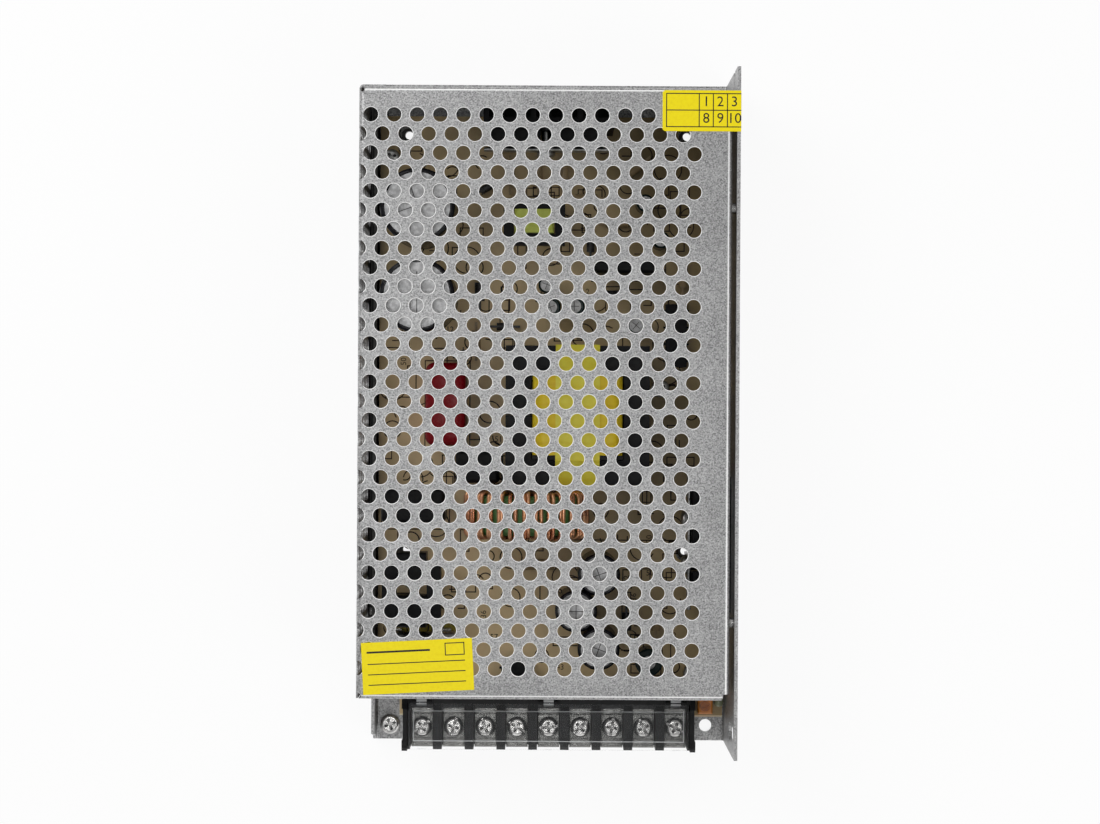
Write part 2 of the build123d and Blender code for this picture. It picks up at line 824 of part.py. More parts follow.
def terminal_cover():
    """Clear flap with a raised panel, three clips at the back and three latches in front."""
    flap = block(flap_left, flap_right, flap_front, flap_rear, flap_bottom, flap_top)
    panel = block(
        flap_left + flap_panel_side, flap_right - flap_panel_side,
        flap_front + flap_panel_front, flap_rear - flap_panel_rear, flap_top, flap_top + flap_panel_height,
    )
    flap += chamfer(top_edges(panel), flap_panel_height * 0.6)
    for cell in hinge_cells:
        x = terminal_places[cell]
        half = hinge_ring_width / 2
        clip = bar_along_x(x - half, x + half, hinge_y, hinge_z, hinge_ring_radius)
        clip += block(x - half, x + half, hinge_y - hinge_ring_radius, flap_rear, hinge_z, flap_top)
        clip -= bar_along_x(x - 2 * half, x + 2 * half, hinge_y, hinge_z, hinge_pin_radius + hinge_fit)
        mouth = Rot(-45, 0, 0) * block(
            -half - 1, half + 1, 0, 2 * hinge_ring_radius, -hinge_ring_opening / 2, hinge_ring_opening / 2
        )
        flap += clip - Pos(x, hinge_y, hinge_z) * mouth
        latch = block(
            x - latch_width / 2, x + latch_width / 2, flap_front, flap_front + latch_thickness,
            flap_bottom - latch_drop, flap_bottom + 0.1,
        )
        nub_z = flap_bottom - latch_drop
        latch += block(
            x - latch_width / 2, x + latch_width / 2, flap_front + latch_thickness,
            flap_front + latch_thickness + latch_nub, nub_z, nub_z + latch_nub,
        )
        flap += latch
    return flap


def trimmer_body():
    """Open box of the voltage trimmer with a round seat for its rotor."""
    left = trimmer_x - trimmer_width / 2
    top = board_top + trimmer_height
    body = block(left, left + trimmer_width, trimmer_front, trimmer_front + trimmer_depth, board_top, top)
    body = chamfer(top_edges(body), 0.4)
    return body - column(trimmer_x, rotor_y, rotor_radius + rotor_fit, top - rotor_pocket, top + 1)


def trimmer_rotor():
    """Round rotor with a cross slot for a small screwdriver."""
    bottom = board_top + trimmer_height - rotor_pocket + rotor_fit
    top = bottom + rotor_height
    rotor = column(trimmer_x, rotor_y, rotor_radius, bottom, top)
    return rotor - Pos(trimmer_x, rotor_y, 0) * cross_recess(rotor_radius * 0.75, top, 0.6, 0.5, 20)


def indicator_lamp():
    """Small round lamp with a domed lens and a base flange."""
    lens_top = board_top + part_lift + lamp_height
    lens = column(lamp_x, lamp_y, lamp_radius, board_top + part_lift, lens_top)
    lens = fillet(top_edges(lens), lamp_radius * 0.9)
    return lens + column(lamp_x, lamp_y, lamp_radius + 0.25, board_top, board_top + part_lift + 0.8)


def bulk_capacitor(x, y):
    """Aluminium can in a sleeve, with a crimp groove and a scored vent."""
    can = column(x, y, bulk_radius, board_top, board_top + bulk_height)
    can = fillet(top_edges(can), bulk_top_round)
    groove = column(x, y, bulk_radius + 1, board_top + bulk_groove_height - 0.6, board_top + bulk_groove_height + 0.6)
    groove -= column(x, y, bulk_radius - bulk_groove, board_top, board_top + 2 * bulk_groove_height)
    top = board_top + bulk_height
    vent = block(-bulk_radius * 0.62, bulk_radius * 0.62, -vent_width / 2, vent_width / 2, top - vent_depth, top + 1)
    return can - groove - Pos(x, y, 0) * (vent + Rot(0, 0, 60) * vent)


def e_core(x, y, width, length, height, bottom, leg, back, centre_leg, split):
    """Two E shaped halves that meet in the middle, legs along Y."""
    halves = []
    for side in (-1, 1):
        outer = sorted((y + side * split / 2, y + side * length / 2))
        window = sorted((y + side * split / 2 - side, y + side * (length / 2 - back)))
        half = block(x - width / 2, x + width / 2, *outer, bottom, bottom + height)
        for wing in (-1, 1):
            opening = sorted((x + wing * centre_leg / 2, x + wing * (width / 2 - leg)))
            half -= block(*opening, *window, bottom - 1, bottom + height + 1)
        halves.append(half)
    return halves


def ring_block(outer_x, outer_y, inner_x, inner_z, z0, z1, centre_z, rounding):
    """Coil round a leg that lies along Y, centred on the origin in X and Y."""
    coil = block(-outer_x / 2, outer_x / 2, -outer_y / 2, outer_y / 2, z0, z1)
    coil = fillet(coil.edges().filter_by(Axis.Y), rounding)
    hole = block(-inner_x / 2, inner_x / 2, -outer_y, outer_y, centre_z - inner_z / 2, centre_z + inner_z / 2)
    return coil - hole


def main_bobbin_sizes():
    """Width, length and middle height of the window that the main coil former fills."""
    width = main_core_width - 2 * main_leg - 2 * main_fit
    length = main_core_length - 2 * main_back - 2 * main_fit
    return width, length, main_core_bottom + main_core_height / 2


def main_transformer_bobbin():
    """Coil former: tube, two flanges and the two pin rails that stand on the board."""
    width, length, middle = main_bobbin_sizes()
    tube_x = main_centre_leg + 2 * main_fit
    tube_z = main_core_height + 2 * main_fit
    wall = 2 * main_tube_wall
    former = block(
        -tube_x / 2 - wall / 2, tube_x / 2 + wall / 2, -length / 2, length / 2,
        middle - tube_z / 2 - wall / 2, middle + tube_z / 2 + wall / 2,
    )
    for side in (-1, 1):
        end = sorted((side * length / 2, side * (length / 2 - main_flange)))
        former += block(-width / 2, width / 2, *end, main_winding_bottom - 0.4, main_winding_bottom + main_winding_height)
        rail = sorted((side * (length / 2 - main_flange), side * (length / 2 - main_flange + main_rail_depth)))
        for wing in (-1, 1):
            reach = sorted((wing * main_rail_inner, wing * main_rail_width / 2))
            former += block(*reach, *rail, board_top, board_top + main_rail_height)
    former -= block(
        -tube_x / 2, tube_x / 2, -length, length, middle - tube_z / 2, middle + tube_z / 2
    )
    return Pos(main_x, main_y, 0) * former


def main_transformer_winding():
    """Taped coil between the flanges of the former."""
    width, length, middle = main_bobbin_sizes()
    inner_x = main_centre_leg + 2 * main_fit + 2 * main_tube_wall + main_fit
    inner_z = main_core_height + 2 * main_fit + 2 * main_tube_wall + main_fit
    coil = ring_block(
        width - 0.2, length - 2 * main_flange - 0.2, inner_x, inner_z,
        main_winding_bottom, main_winding_bottom + main_winding_height, middle, main_winding_round,
    )
    return Pos(main_x, main_y, 0) * coil


def main_transformer_tape():
    """Tape band that holds the two core halves together, drawn tight over the coil."""
    half = main_core_length / 2 + 0.1
    low = main_core_bottom - 0.1
    high = main_core_bottom + main_core_height + 0.1
    coil_half = main_bobbin_sizes()[1] / 2 + 0.2
    coil_low = main_winding_bottom - 0.6
    coil_high = main_winding_bottom + main_winding_height + 0.2
    inner = polygon(
        (-half, low), (-coil_half, coil_low), (coil_half, coil_low), (half, low),
        (half, high), (coil_half, coil_high), (-coil_half, coil_high), (-half, high),
    )
    outer = offset(inner, core_tape_thickness, kind=Kind.INTERSECTION)
    band = prism_along_x(outer - inner, -core_tape_width / 2, core_tape_width / 2)
    return Pos(main_x, main_y, 0) * band


def small_transformer_winding():
    """Taped coil on the centre leg of the small core, standing on two feet."""
    width = small_core_width - 2 * small_leg - 0.6
    length = small_core_length - 2 * small_back - 0.6
    middle = small_core_bottom + small_core_height / 2
    coil = ring_block(
        width, length, small_centre_leg + 0.6, small_core_height + 0.6,
        small_winding_bottom, small_winding_bottom + small_winding_height, middle, 1.2,
    )
    coil += block(-width / 2, width / 2, -length / 2, length / 2, board_top, small_winding_bottom + 1.3)
    return Pos(small_x, small_y, 0) * coil


def choke_core():
    """Coated ring with rounded edges, its axis along Y."""
    ring = Cylinder(choke_outer, choke_depth) - Cylinder(choke_inner, choke_depth)
    rims = ring.edges().filter_by(GeomType.CIRCLE)
    return Pos(choke_x, choke_y, choke_z) * Rot(90, 0, 0) * chamfer(rims, choke_round)


def choke_winding():
    """Copper turns spaced round the ring, open where the two ends leave for the board."""
    radial = choke_outer - choke_inner + 2 * choke_slack
    depth = choke_depth + 2 * choke_slack
    turn = Box(radial + 2 * choke_wire, choke_wire, depth + 2 * choke_wire)
    turn -= Box(radial, 2 * choke_wire, depth)
    middle = (choke_outer + choke_inner) / 2
    span = 360 - choke_gap_angle
    start = 270 + choke_gap_angle / 2
    turns = []
    for index in range(choke_turns):
        angle = start + span * index / (choke_turns - 1)
        turns.append(Pos(choke_x, choke_y, choke_z) * Rot(90, 0, 0) * Rot(0, 0, angle) * Pos(middle, 0, 0) * turn)
    foot_radius = choke_outer + choke_slack + choke_wire / 2
    foot_x = foot_radius * math.cos(math.radians(start))
    foot_top = choke_z + foot_radius * math.sin(math.radians(start))
    half = choke_wire / 2
    for index, x in ((0, choke_x + foot_x), (-1, choke_x - foot_x)):
        turns[index] += block(x - half, x + half, choke_y - half, choke_y + half, board_top, foot_top)
    return turns


def filter_core():
    """Closed square core of the filter choke."""
    core = block(
        -filter_width / 2, filter_width / 2, -filter_depth / 2, filter_depth / 2,
        filter_core_bottom, filter_core_bottom + filter_core_height,
    )
    core -= block(
        -filter_width / 2 + filter_leg, filter_width / 2 - filter_leg,
        -filter_depth / 2 + filter_leg, filter_depth / 2 - filter_leg, 0, case_height,
    )
    return Pos(filter_x, filter_y, 0) * core


def filter_coils():
    """Two taped coils on the front and rear legs, each with a foot on the board."""
    coils = []
    for side in (-1, 1):
        leg_y = side * (filter_depth - filter_leg) / 2
        reach = filter_coil_wall + filter_coil_fit
        low, high = filter_core_bottom - reach, filter_core_bottom + filter_core_height + reach
        half = filter_coil_length / 2
        coil = block(-half, half, leg_y - filter_leg / 2 - reach, leg_y + filter_leg / 2 + reach, low, high)
        coil = fillet(coil.edges().filter_by(Axis.X), 1.5)
        coil += block(-half, half, leg_y - filter_foot, leg_y + filter_foot, board_top, low + 0.5)
        fit = filter_leg / 2 + filter_coil_fit
        coil -= block(
            -20, 20, leg_y - fit, leg_y + fit,
            filter_core_bottom - filter_coil_fit, filter_core_bottom + filter_core_height + filter_coil_fit,
        )
        coils.append(Pos(filter_x, filter_y, 0) * coil)
    return coils


def boxed_part(sizes, rounding):
    """Moulded box on the board with rounded upright edges and a rounded top."""
    x0, x1, y0, y1, height = sizes
    body = block(x0, x1, y0, y1, board_top, board_top + height)
    return fillet(body.edges().filter_by(Axis.Z) + top_edges(body), rounding)


def bridge_rectifier():
    """Flat upright package on four leads."""
    x0, x1, y0, y1, height = bridge_box
    body = block(x0, x1, y0, y1, board_top + lead_length, board_top + height)
    body = chamfer(top_edges(body), 0.8)
    middle = (x0 + x1) / 2
    for index in range(4):
        x = middle + (index - 1.5) * bridge_lead_pitch
        body += block(
            x - lead_radius, x + lead_radius, (y0 + y1) / 2 - lead_radius / 2, (y0 + y1) / 2 + lead_radius / 2,
            board_top, board_top + lead_length + 0.5,
        )
    return body


def round_capacitors(places):
    """Cans with a rounded top edge."""
    cans = []
    for x, y, radius, height in places:
        can = column(x, y, radius, board_top, board_top + height)
        cans.append(chamfer(top_edges(can), 0.5))
    return cans


def rear_heatsink():
    """Finned bar across the rear, standing on the board."""
    rear = cover_rear - cover_sheet - sink_wall_gap
    top = board_top + sink_height
    sink = block(sink_left, sink_right, sink_front, rear, board_top, top)
    pitch = (sink_right - sink_left - sink_fin) / (sink_fin_count - 1)
    for index in range(sink_fin_count - 1):
        x = sink_left + sink_fin + index * pitch
        sink -= block(x, x + pitch - sink_fin, sink_front + sink_back, rear + 1, board_top + sink_back, top + 1)
    z = board_top + clamp_bar_lift + clamp_bar_height / 2
    return sink - Pos(rear_clamp_screw_x, sink_front, z) * Rot(90, 0, 0) * Cylinder(m3_hole_radius, 2 * sink_back)


def power_device(width, depth, height, turn):
    """Flat power package on three leads, its back on the plane through the origin."""
    body = block(-width / 2, width / 2, -depth, 0, lead_length, height)
    body = chamfer(body.faces().sort_by(Axis.Y)[0].edges(), 0.5)
    for index in (-1, 0, 1):
        x = index * width / 4
        body += block(x - lead_radius, x + lead_radius, -depth / 2 - 0.3, -depth / 2 + 0.3, 0, lead_length + 0.5)
    return Rot(0, 0, turn) * body


def primary_transistors():
    """Switching devices on the front of the rear heat sink."""
    device = power_device(device_width, device_depth, device_height, 0)
    return [Pos(x, sink_front - device_gap, board_top) * device for x in primary_places]


def output_rectifiers():
    """Rectifiers on the heat sink bar beside the right wall."""
    device = power_device(rectifier_width, rectifier_depth, rectifier_height, -90)
    return [Pos(output_sink_left - device_gap, y, board_top) * device for y in rectifier_places]


def output_heatsink():
    """Solid bar that carries heat from the rectifiers into the right wall."""
    right = right_x - chassis_sheet
    top = board_top + output_sink_height
    bar = block(output_sink_left, right, output_sink_front, output_sink_rear, board_top, top)
    bar = chamfer(bar.edges().filter_by(Axis.Y).sort_by(Axis.Z)[-2:], output_sink_chamfer)
    z = board_top + clamp_bar_lift + clamp_bar_height / 2
    for y in side_clamp_screw_places:
        bar -= bar_along_x(output_sink_left - 1, output_sink_left + sink_back, y, z, m3_hole_radius)
    return bar


def clamp_bars():
    """Steel strips that press the power devices on their heat sinks."""
    low = board_top + clamp_bar_lift
    high = low + clamp_bar_height
    middle = (low + high) / 2
    round_edge = clamp_bar_depth * 0.45
    rear_bar = block(sink_left, sink_right, rear_bar_front, rear_bar_front + clamp_bar_depth, low, high)
    rear_bar = fillet(rear_bar.edges().filter_by(Axis.X), round_edge)
    rear_bar -= Pos(rear_clamp_screw_x, rear_bar_front, middle) * Rot(90, 0, 0) * Cylinder(clamp_bar_hole, 5)
    side_bar = block(
        side_bar_left, side_bar_left + clamp_bar_depth, output_sink_front, output_sink_rear, low, high
    )
    side_bar = fillet(side_bar.edges().filter_by(Axis.Y), round_edge)
    for y in side_clamp_screw_places:
        side_bar -= bar_along_x(side_bar_left - 1, side_bar_left + 2, y, middle, clamp_bar_hole)
    return [rear_bar, side_bar]


def fuse():
    """Glass tube with two metal caps, each in a clip on the board."""
    z = board_top + fuse_lift
    tube = bar_along_x(fuse_x - fuse_length / 2 + 1, fuse_x + fuse_length / 2 - 1, fuse_y, z, fuse_radius - fuse_cap_step)
    for side in (-1, 1):
        ends = sorted((fuse_x + side * fuse_length / 2, fuse_x + side * (fuse_length / 2 - fuse_cap_length)))
        tube += bar_along_x(*ends, fuse_y, z, fuse_radius)
        middle = sum(ends) / 2
        wide = fuse_radius + clip_thickness
        clip = block(
            middle - clip_width / 2, middle + clip_width / 2, fuse_y - wide, fuse_y + wide,
            board_top, z + 0.5,
        )
        tube += clip
    return tube


def wired_part(x, y, turn, radius, length):
    """Lying body with a lead at each end that is bent down into the board."""
    z = radius + 0.3
    reach = length / 2 + wired_lead_reach
    lead = wired_lead_radius
    body = bar_along_x(-length / 2, length / 2, 0, z, radius)
    body += block(-reach, reach, -lead, lead, z - lead, z + lead)
    for side in (-1, 1):
        body += block(side * reach - lead, side * reach + lead, -lead, lead, 0, z + lead)
    return Pos(x, y, board_top) * Rot(0, 0, turn) * body


def control_chips():
    """Dual in line packages with a row of legs on each long side."""
    chips = []
    for x, y, width, length in chip_places:
        bottom = board_top + chip_lift
        chip = block(x - width / 2, x + width / 2, y - length / 2, y + length / 2, bottom, bottom + chip_height)
        legs = int(length // 2.54)
        for side in (-1, 1):
            edge = x + side * width / 2
            for index in range(legs):
                leg_y = y + (index - (legs - 1) / 2) * 2.54
                ends = sorted((edge - side * 0.2, edge + side * 0.6))
                chip += block(*ends, leg_y - chip_leg / 2, leg_y + chip_leg / 2, board_top, bottom + chip_height / 2)
        chips.append(chip)
    return chips


def grid_label():
    """Sticker at the rear right corner that runs over the gap on to the wall's top edge."""
    rear = cover_rear - grid_label_rear_margin
    return block(
        right_x - grid_label_reach, right_x, rear - grid_label_depth, rear, case_height, case_height + label_thickness
    )


def plain_label():
    """Sticker near the front left corner, set on a little askew."""
    sheet = block(
        -plain_label_width / 2, plain_label_width / 2, -plain_label_depth / 2, plain_label_depth / 2,
        0, label_thickness,
    )
    return Pos(*plain_label_centre, case_height) * Rot(0, 0, plain_label_turn) * sheet


save("chassis", chassis())
save("cover", cover())
save("cover_screws", *cover_screws())
save("base_screw", base_screw())
save("grid_label", grid_label())
save("plain_label", plain_label())
save("insulation_sheet", insulation_sheet())
save("circuit_board", circuit_board())
save("board_standoffs", *board_standoffs())
save("inner_screws", *inner_screws())
save("terminal_block", terminal_block())
save("terminal_plates", *terminal_plates())
for number, place in enumerate(terminal_places, start=1):
    save(f"terminal_clamp_{number}", terminal_clamp(place))
    save(f"terminal_screw_{number}", terminal_screw(place, 37 * number))
save("terminal_cover", terminal_cover())
save("trimmer_body", trimmer_body())
save("trimmer_rotor", trimmer_rotor())
save("indicator_lamp", indicator_lamp())
save("bulk_capacitors", *[bulk_capacitor(*place) for place in bulk_places])
save(
    "main_transformer_core",
    *e_core(
        main_x, main_y, main_core_width, main_core_length, main_core_height, main_core_bottom,
        main_leg, main_back, main_centre_leg, main_core_split,
    ),
)
save("main_transformer_bobbin", main_transformer_bobbin())
save("main_transformer_winding", main_transformer_winding())
save("main_transformer_tape", main_transformer_tape())
save(
    "small_transformer_core",
    *e_core(
        small_x, small_y, small_core_width, small_core_length, small_core_height, small_core_bottom,
        small_leg, small_back, small_centre_leg, main_core_split,
    ),
)
save("small_transformer_winding", small_transformer_winding())
save("output_choke_core", choke_core())
save("output_choke_winding", *choke_winding())
save("filter_choke_core", filter_core())
save("filter_choke_coils", *filter_coils())
save("film_capacitor", boxed_part(film_box, film_round))
save("filter_capacitor", boxed_part(x_capacitor_box, box_round))
save("inrush_relay", boxed_part(relay_box, box_round))
save("bridge_rectifier", bridge_rectifier())
save("output_capacitors", *round_capacitors(output_capacitor_places))
save("small_capacitors", *round_capacitors(small_capacitor_places))
save("rear_heatsink", rear_heatsink())
save("primary_transistors", *primary_transistors())
save("output_heatsink", output_heatsink())
save("output_rectifiers", *output_rectifiers())
save("clamp_bars", *clamp_bars())
save("fuse", fuse())
save("resistors", *[wired_part(*place) for place in resistor_places])
save("diodes", *[wired_part(*place) for place in diode_places])
save("control_chips", *control_chips())
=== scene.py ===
"""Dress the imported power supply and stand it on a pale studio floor, seen from straight above.

The frame holds every rigid piece. This script replaces the cover by a sheet that is punched flat and then
folded, winds the output choke with wire, prints the board and the labels, and gives each piece its finish.
Sizes are in millimetres, and become metres when a mesh is made.
"""

import logging
import math
import random
from collections.abc import Callable, Iterable, Sequence
from dataclasses import dataclass, field
from enum import Enum

import bmesh
import bpy
from mathutils import Matrix, Vector


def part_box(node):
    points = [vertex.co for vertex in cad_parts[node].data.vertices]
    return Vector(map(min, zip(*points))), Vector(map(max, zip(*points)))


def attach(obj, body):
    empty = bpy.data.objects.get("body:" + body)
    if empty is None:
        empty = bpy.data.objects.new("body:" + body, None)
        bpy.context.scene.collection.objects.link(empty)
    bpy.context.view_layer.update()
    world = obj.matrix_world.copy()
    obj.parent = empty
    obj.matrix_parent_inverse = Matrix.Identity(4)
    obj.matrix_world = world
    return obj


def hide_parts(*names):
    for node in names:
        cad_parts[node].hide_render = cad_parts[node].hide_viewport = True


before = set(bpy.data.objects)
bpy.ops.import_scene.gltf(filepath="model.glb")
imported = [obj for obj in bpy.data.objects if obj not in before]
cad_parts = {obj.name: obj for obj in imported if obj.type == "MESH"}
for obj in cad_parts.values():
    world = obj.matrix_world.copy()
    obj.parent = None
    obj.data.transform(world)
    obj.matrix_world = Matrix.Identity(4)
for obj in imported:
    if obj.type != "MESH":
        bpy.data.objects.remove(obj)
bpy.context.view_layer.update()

MM = 0.001
CASE = "case"
Color = tuple[float, float, float]
Point = tuple[float, float]
log = logging.getLogger("power_supply")


class Value:
    """A number in a shader, on which Python's operators add Math nodes."""

    def __init__(self, graph: "Graph", socket: bpy.types.NodeSocket) -> None:
        """Wrap a socket of a graph."""
        self.graph = graph
        self.socket = socket

    def _math(self, operation: str, *terms: "Value | float") -> "Value":
        """Add one Math node.

        Args:
            operation: The node's operation.
            terms: Its inputs in order.

        Returns:
            The node's result.
        """
        node = self.graph.node("ShaderNodeMath", {"operation": operation}, dict(enumerate(terms)))
        return Value(self.graph, node.outputs[0])

    def __add__(self, other: "Value | float") -> "Value":
        """Sum."""
        return self._math("ADD", self, other)

    def __sub__(self, other: "Value | float") -> "Value":
        """Difference."""
        return self._math("SUBTRACT", self, other)

    def __rsub__(self, other: float) -> "Value":
        """Difference with the number first."""
        return self._math("SUBTRACT", other, self)

    def __mul__(self, other: "Value | float") -> "Value":
        """Product."""
        return self._math("MULTIPLY", self, other)

    def __truediv__(self, other: "Value | float") -> "Value":
        """Quotient."""
        return self._math("DIVIDE", self, other)

    def __gt__(self, other: "Value | float") -> "Value":
        """1 where this is greater, else 0."""
        return self._math("GREATER_THAN", self, other)

    def __lt__(self, other: "Value | float") -> "Value":
        """1 where this is less, else 0."""
        return self._math("LESS_THAN", self, other)

    __radd__ = __add__
    __rmul__ = __mul__

    def least(self, other: "Value | float") -> "Value":
        """Return the smaller of the two."""
        return self._math("MINIMUM", self, other)

    def most(self, other: "Value | float") -> "Value":
        """Return the greater of the two."""
        return self._math("MAXIMUM", self, other)

    def size(self) -> "Value":
        """Return the value without its sign."""
        return self._math("ABSOLUTE", self)

    def root(self) -> "Value":
        """Return the square root."""
        return self._math("SQRT", self)

    def ramp(self, low: float, high: float) -> "Value":
        """Rise from 0 at low to 1 at high, and hold outside.

        Args:
            low: The value that gives 0.
            high: The value that gives 1.

        Returns:
            The share of the way from low to high.
        """
        settings = {"clamp": True}
        limits = {0: self, 1: low, 2: high, 3: 0.0, 4: 1.0}
        return Value(self.graph, self.graph.node("ShaderNodeMapRange", settings, limits).outputs[0])


class Graph:
    """The node graph of one material."""

    def __init__(self, name: str) -> None:
        """Start an empty material of that name."""
        self.material = bpy.data.materials.new(name)
        self.material.use_nodes = True
        self.tree = self.material.node_tree
        self.tree.nodes.clear()
        self._place: bpy.types.NodeSocket | None = None

    def node(self, kind: str, settings: dict | None = None, inputs: dict | None = None) -> bpy.types.Node:
        """Add one node.

        Args:
            kind: The node's type.
            settings: Its own options; stops fills a colour ramp.
            inputs: Values, sockets or Value objects, by socket name or number.

        Returns:
            The node.
        """
        node = self.tree.nodes.new(kind)
        for key, value in (settings or {}).items():
            if key == "stops":
                fill_ramp(node.color_ramp, value)
            else:
                setattr(node, key, value)
        for key, value in (inputs or {}).items():
            if isinstance(value, Value):
                value = value.socket
            if isinstance(value, bpy.types.NodeSocket):
                self.tree.links.new(value, node.inputs[key])
            else:
                node.inputs[key].default_value = value
        return node

    def place(self) -> bpy.types.NodeSocket:
        """Return the point on the piece in millimetres."""
        if self._place is None:
            spot = self.node("ShaderNodeTexCoord").outputs["Object"]
            scaled = self.node("ShaderNodeVectorMath", {"operation": "SCALE"}, {0: spot, "Scale": 1 / MM})
            self._place = scaled.outputs[0]
        return self._place

    def axes(self) -> list[Value]:
        """Return the three coordinates of the point in millimetres."""
        parts = self.node("ShaderNodeSeparateXYZ", None, {0: self.place()})
        return [Value(self, socket) for socket in parts.outputs]

    def noise(self, grain: float, detail: float = 2.0, stretch: Sequence[float] = (1, 1, 1)) -> Value:
        """Soft noise from 0 to 1.

        Args:
            grain: The size of a blob in millimetres.
            detail: How many finer layers are added.
            stretch: How much the coordinates are multiplied along each axis.

        Returns:
            The noise.
        """
        spot = self.node("ShaderNodeMapping", None, {"Vector": self.place(), "Scale": stretch}).outputs[0]
        inputs = {"Vector": spot, "Scale": 1 / grain, "Detail": detail, "Roughness": 0.55}
        return Value(self, self.node("ShaderNodeTexNoise", None, inputs).outputs[0])

    def flakes(self, grain: float) -> Value:
        """Give each cell of a random mosaic its own level from 0 to 1.

        Args:
            grain: The size of a cell in millimetres.

        Returns:
            The level of the cell.
        """
        cells = self.node("ShaderNodeTexVoronoi", None, {"Vector": self.place(), "Scale": 1 / grain})
        return Value(self, self.node("ShaderNodeSeparateColor", None, {0: cells.outputs["Color"]}).outputs[0])

    def blend(self, share: "Value | float", low: object, high: object) -> bpy.types.NodeSocket:
        """Mix two colours.

        Args:
            share: 0 gives low and 1 gives high.
            low: A colour or a colour socket.
            high: A colour or a colour socket.

        Returns:
            The mixed colour.
        """
        pair = [(*color, 1.0) if isinstance(color, tuple) else color for color in (low, high)]
        node = self.node("ShaderNodeMix", {"data_type": "RGBA"}, {0: share, 6: pair[0], 7: pair[1]})
        return node.outputs[2]

    def level(self) -> Value:
        """Return how level the surface lies, from 0 on a wall to 1 on a flat top."""
        normal = self.node("ShaderNodeTexCoord").outputs["Normal"]
        return Value(self, self.node("ShaderNodeSeparateXYZ", None, {0: normal}).outputs[2]).size()

    def openness(self, reach: float) -> Value:
        """Return how open the surface is, from 0 deep in a recess to 1 on a free face.

        Args:
            reach: How far other surfaces count, in millimetres.

        Returns:
            The openness.
        """
        node = self.node("ShaderNodeAmbientOcclusion", {"samples": 6}, {"Distance": reach * MM})
        return Value(self, node.outputs["AO"])

    def bump(self, height: Value, depth: float) -> bpy.types.NodeSocket:
        """Turn a height from 0 to 1 into a normal.

        Args:
            height: The height.
            depth: How high 1 stands, in millimetres.

        Returns:
            The normal.
        """
        inputs = {"Height": height, "Distance": depth * MM, "Strength": 1.0}
        return self.node("ShaderNodeBump", None, inputs).outputs[0]

    def finish(self, color: object, rough: "Value | float", **others: object) -> bpy.types.Material:
        """Close the graph with a surface shader.

        Args:
            color: The base colour.
            rough: The roughness.
            others: Other inputs of the shader, with underscores for the spaces in their names.

        Returns:
            The material.
        """
        base = (*color, 1.0) if isinstance(color, tuple) else color
        inputs = {"Base Color": base, "Roughness": rough}
        inputs.update({key.replace("_", " "): value for key, value in others.items()})
        shader = self.node("ShaderNodeBsdfPrincipled", None, inputs)
        self.node("ShaderNodeOutputMaterial", None, {"Surface": shader.outputs[0]})
        return self.material


def fill_ramp(ramp: bpy.types.ColorRamp, stops: Sequence[tuple[float, Color]]) -> None:
    """Set the stops of a colour ramp.

    Args:
        ramp: The ramp.
        stops: Each stop's place and colour.
    """
    while len(ramp.elements) < len(stops):
        ramp.elements.new(0.5)
    for element, (place, color) in zip(ramp.elements, stops):
        element.position = place
        element.color = (*color, 1.0)


class Plating(Enum):
    """Bright metals, each with its colour."""

    POLISHED = (0.94, 0.93, 0.91)
    TIN = (0.66, 0.66, 0.65)
    CAN = (0.64, 0.64, 0.645)
    BARE = (0.52, 0.53, 0.54)
    DULL = (0.26, 0.26, 0.25)
    COPPER = (0.86, 0.40, 0.20)


@dataclass(frozen=True)
class Zinc:
    """Galvanised sheet with a fine spangle, a painted highlight on the slanted faces at its top and painted shade
    on its faces inside the case.
    """

    name: str = "spangled_zinc"
    top: float = 50.0
    rim: float = 0.2
    dark: Color = (0.10, 0.10, 0.102)
    light: Color = (0.62, 0.62, 0.62)
    # edge is a painted highlight: the colour given to slanted faces near the top, the punched rims and the starts
    # of the folds.
    edge: Color = (0.97, 0.97, 0.96)
    # inside is painted shade: the colour given to the faces in the box from inside_low to inside_high, inside the
    # case.
    inside: Color = (0.03, 0.03, 0.026)
    left_fold: float = -53.4
    inside_low: tuple[float, float, float] = (-54.2, -81.4, 1.5)
    inside_high: tuple[float, float, float] = (51.8, 93.6, 49.2)
    grain: float = 0.42

    def material(self) -> bpy.types.Material:
        """Return the finish."""
        graph = Graph(self.name)
        spot = graph.axes()
        height = spot[2]
        # Mask of the faces inside the case that get painted shade.
        inner_shade_mask = height > self.inside_low[2]
        for value, low, high in zip(spot, self.inside_low, self.inside_high):
            inner_shade_mask = inner_shade_mask * (value > low) * (value < high)
        cloud = graph.noise(16.0, 3.0)
        speck = graph.noise(self.grain, 1.0)
        share = graph.flakes(self.grain) * 0.4 + speck.ramp(0.3, 0.7) * 0.5 + cloud * 0.3 - 0.1
        sheet = graph.blend(share.ramp(0.0, 1.0), self.dark, self.light)
        # Painted highlight on slanted faces less than rim below the top, except on the left fold; there the sheet
        # is also less metallic.
        slanted = graph.level().ramp(0.99, 0.93)
        painted_highlight = slanted * (height > self.top - self.rim) * (spot[0] > self.left_fold)
        # Painted shade on the faces inside the case.
        sheet = graph.blend(inner_shade_mask * 0.88, sheet, self.inside)
        return graph.finish(
            graph.blend(painted_highlight, sheet, self.edge),
            graph.flakes(self.grain * 1.3) * 0.14 + 0.36,
            Metallic=painted_highlight * -0.6 + 0.75,
            Normal=graph.bump(speck, 0.012),
        )


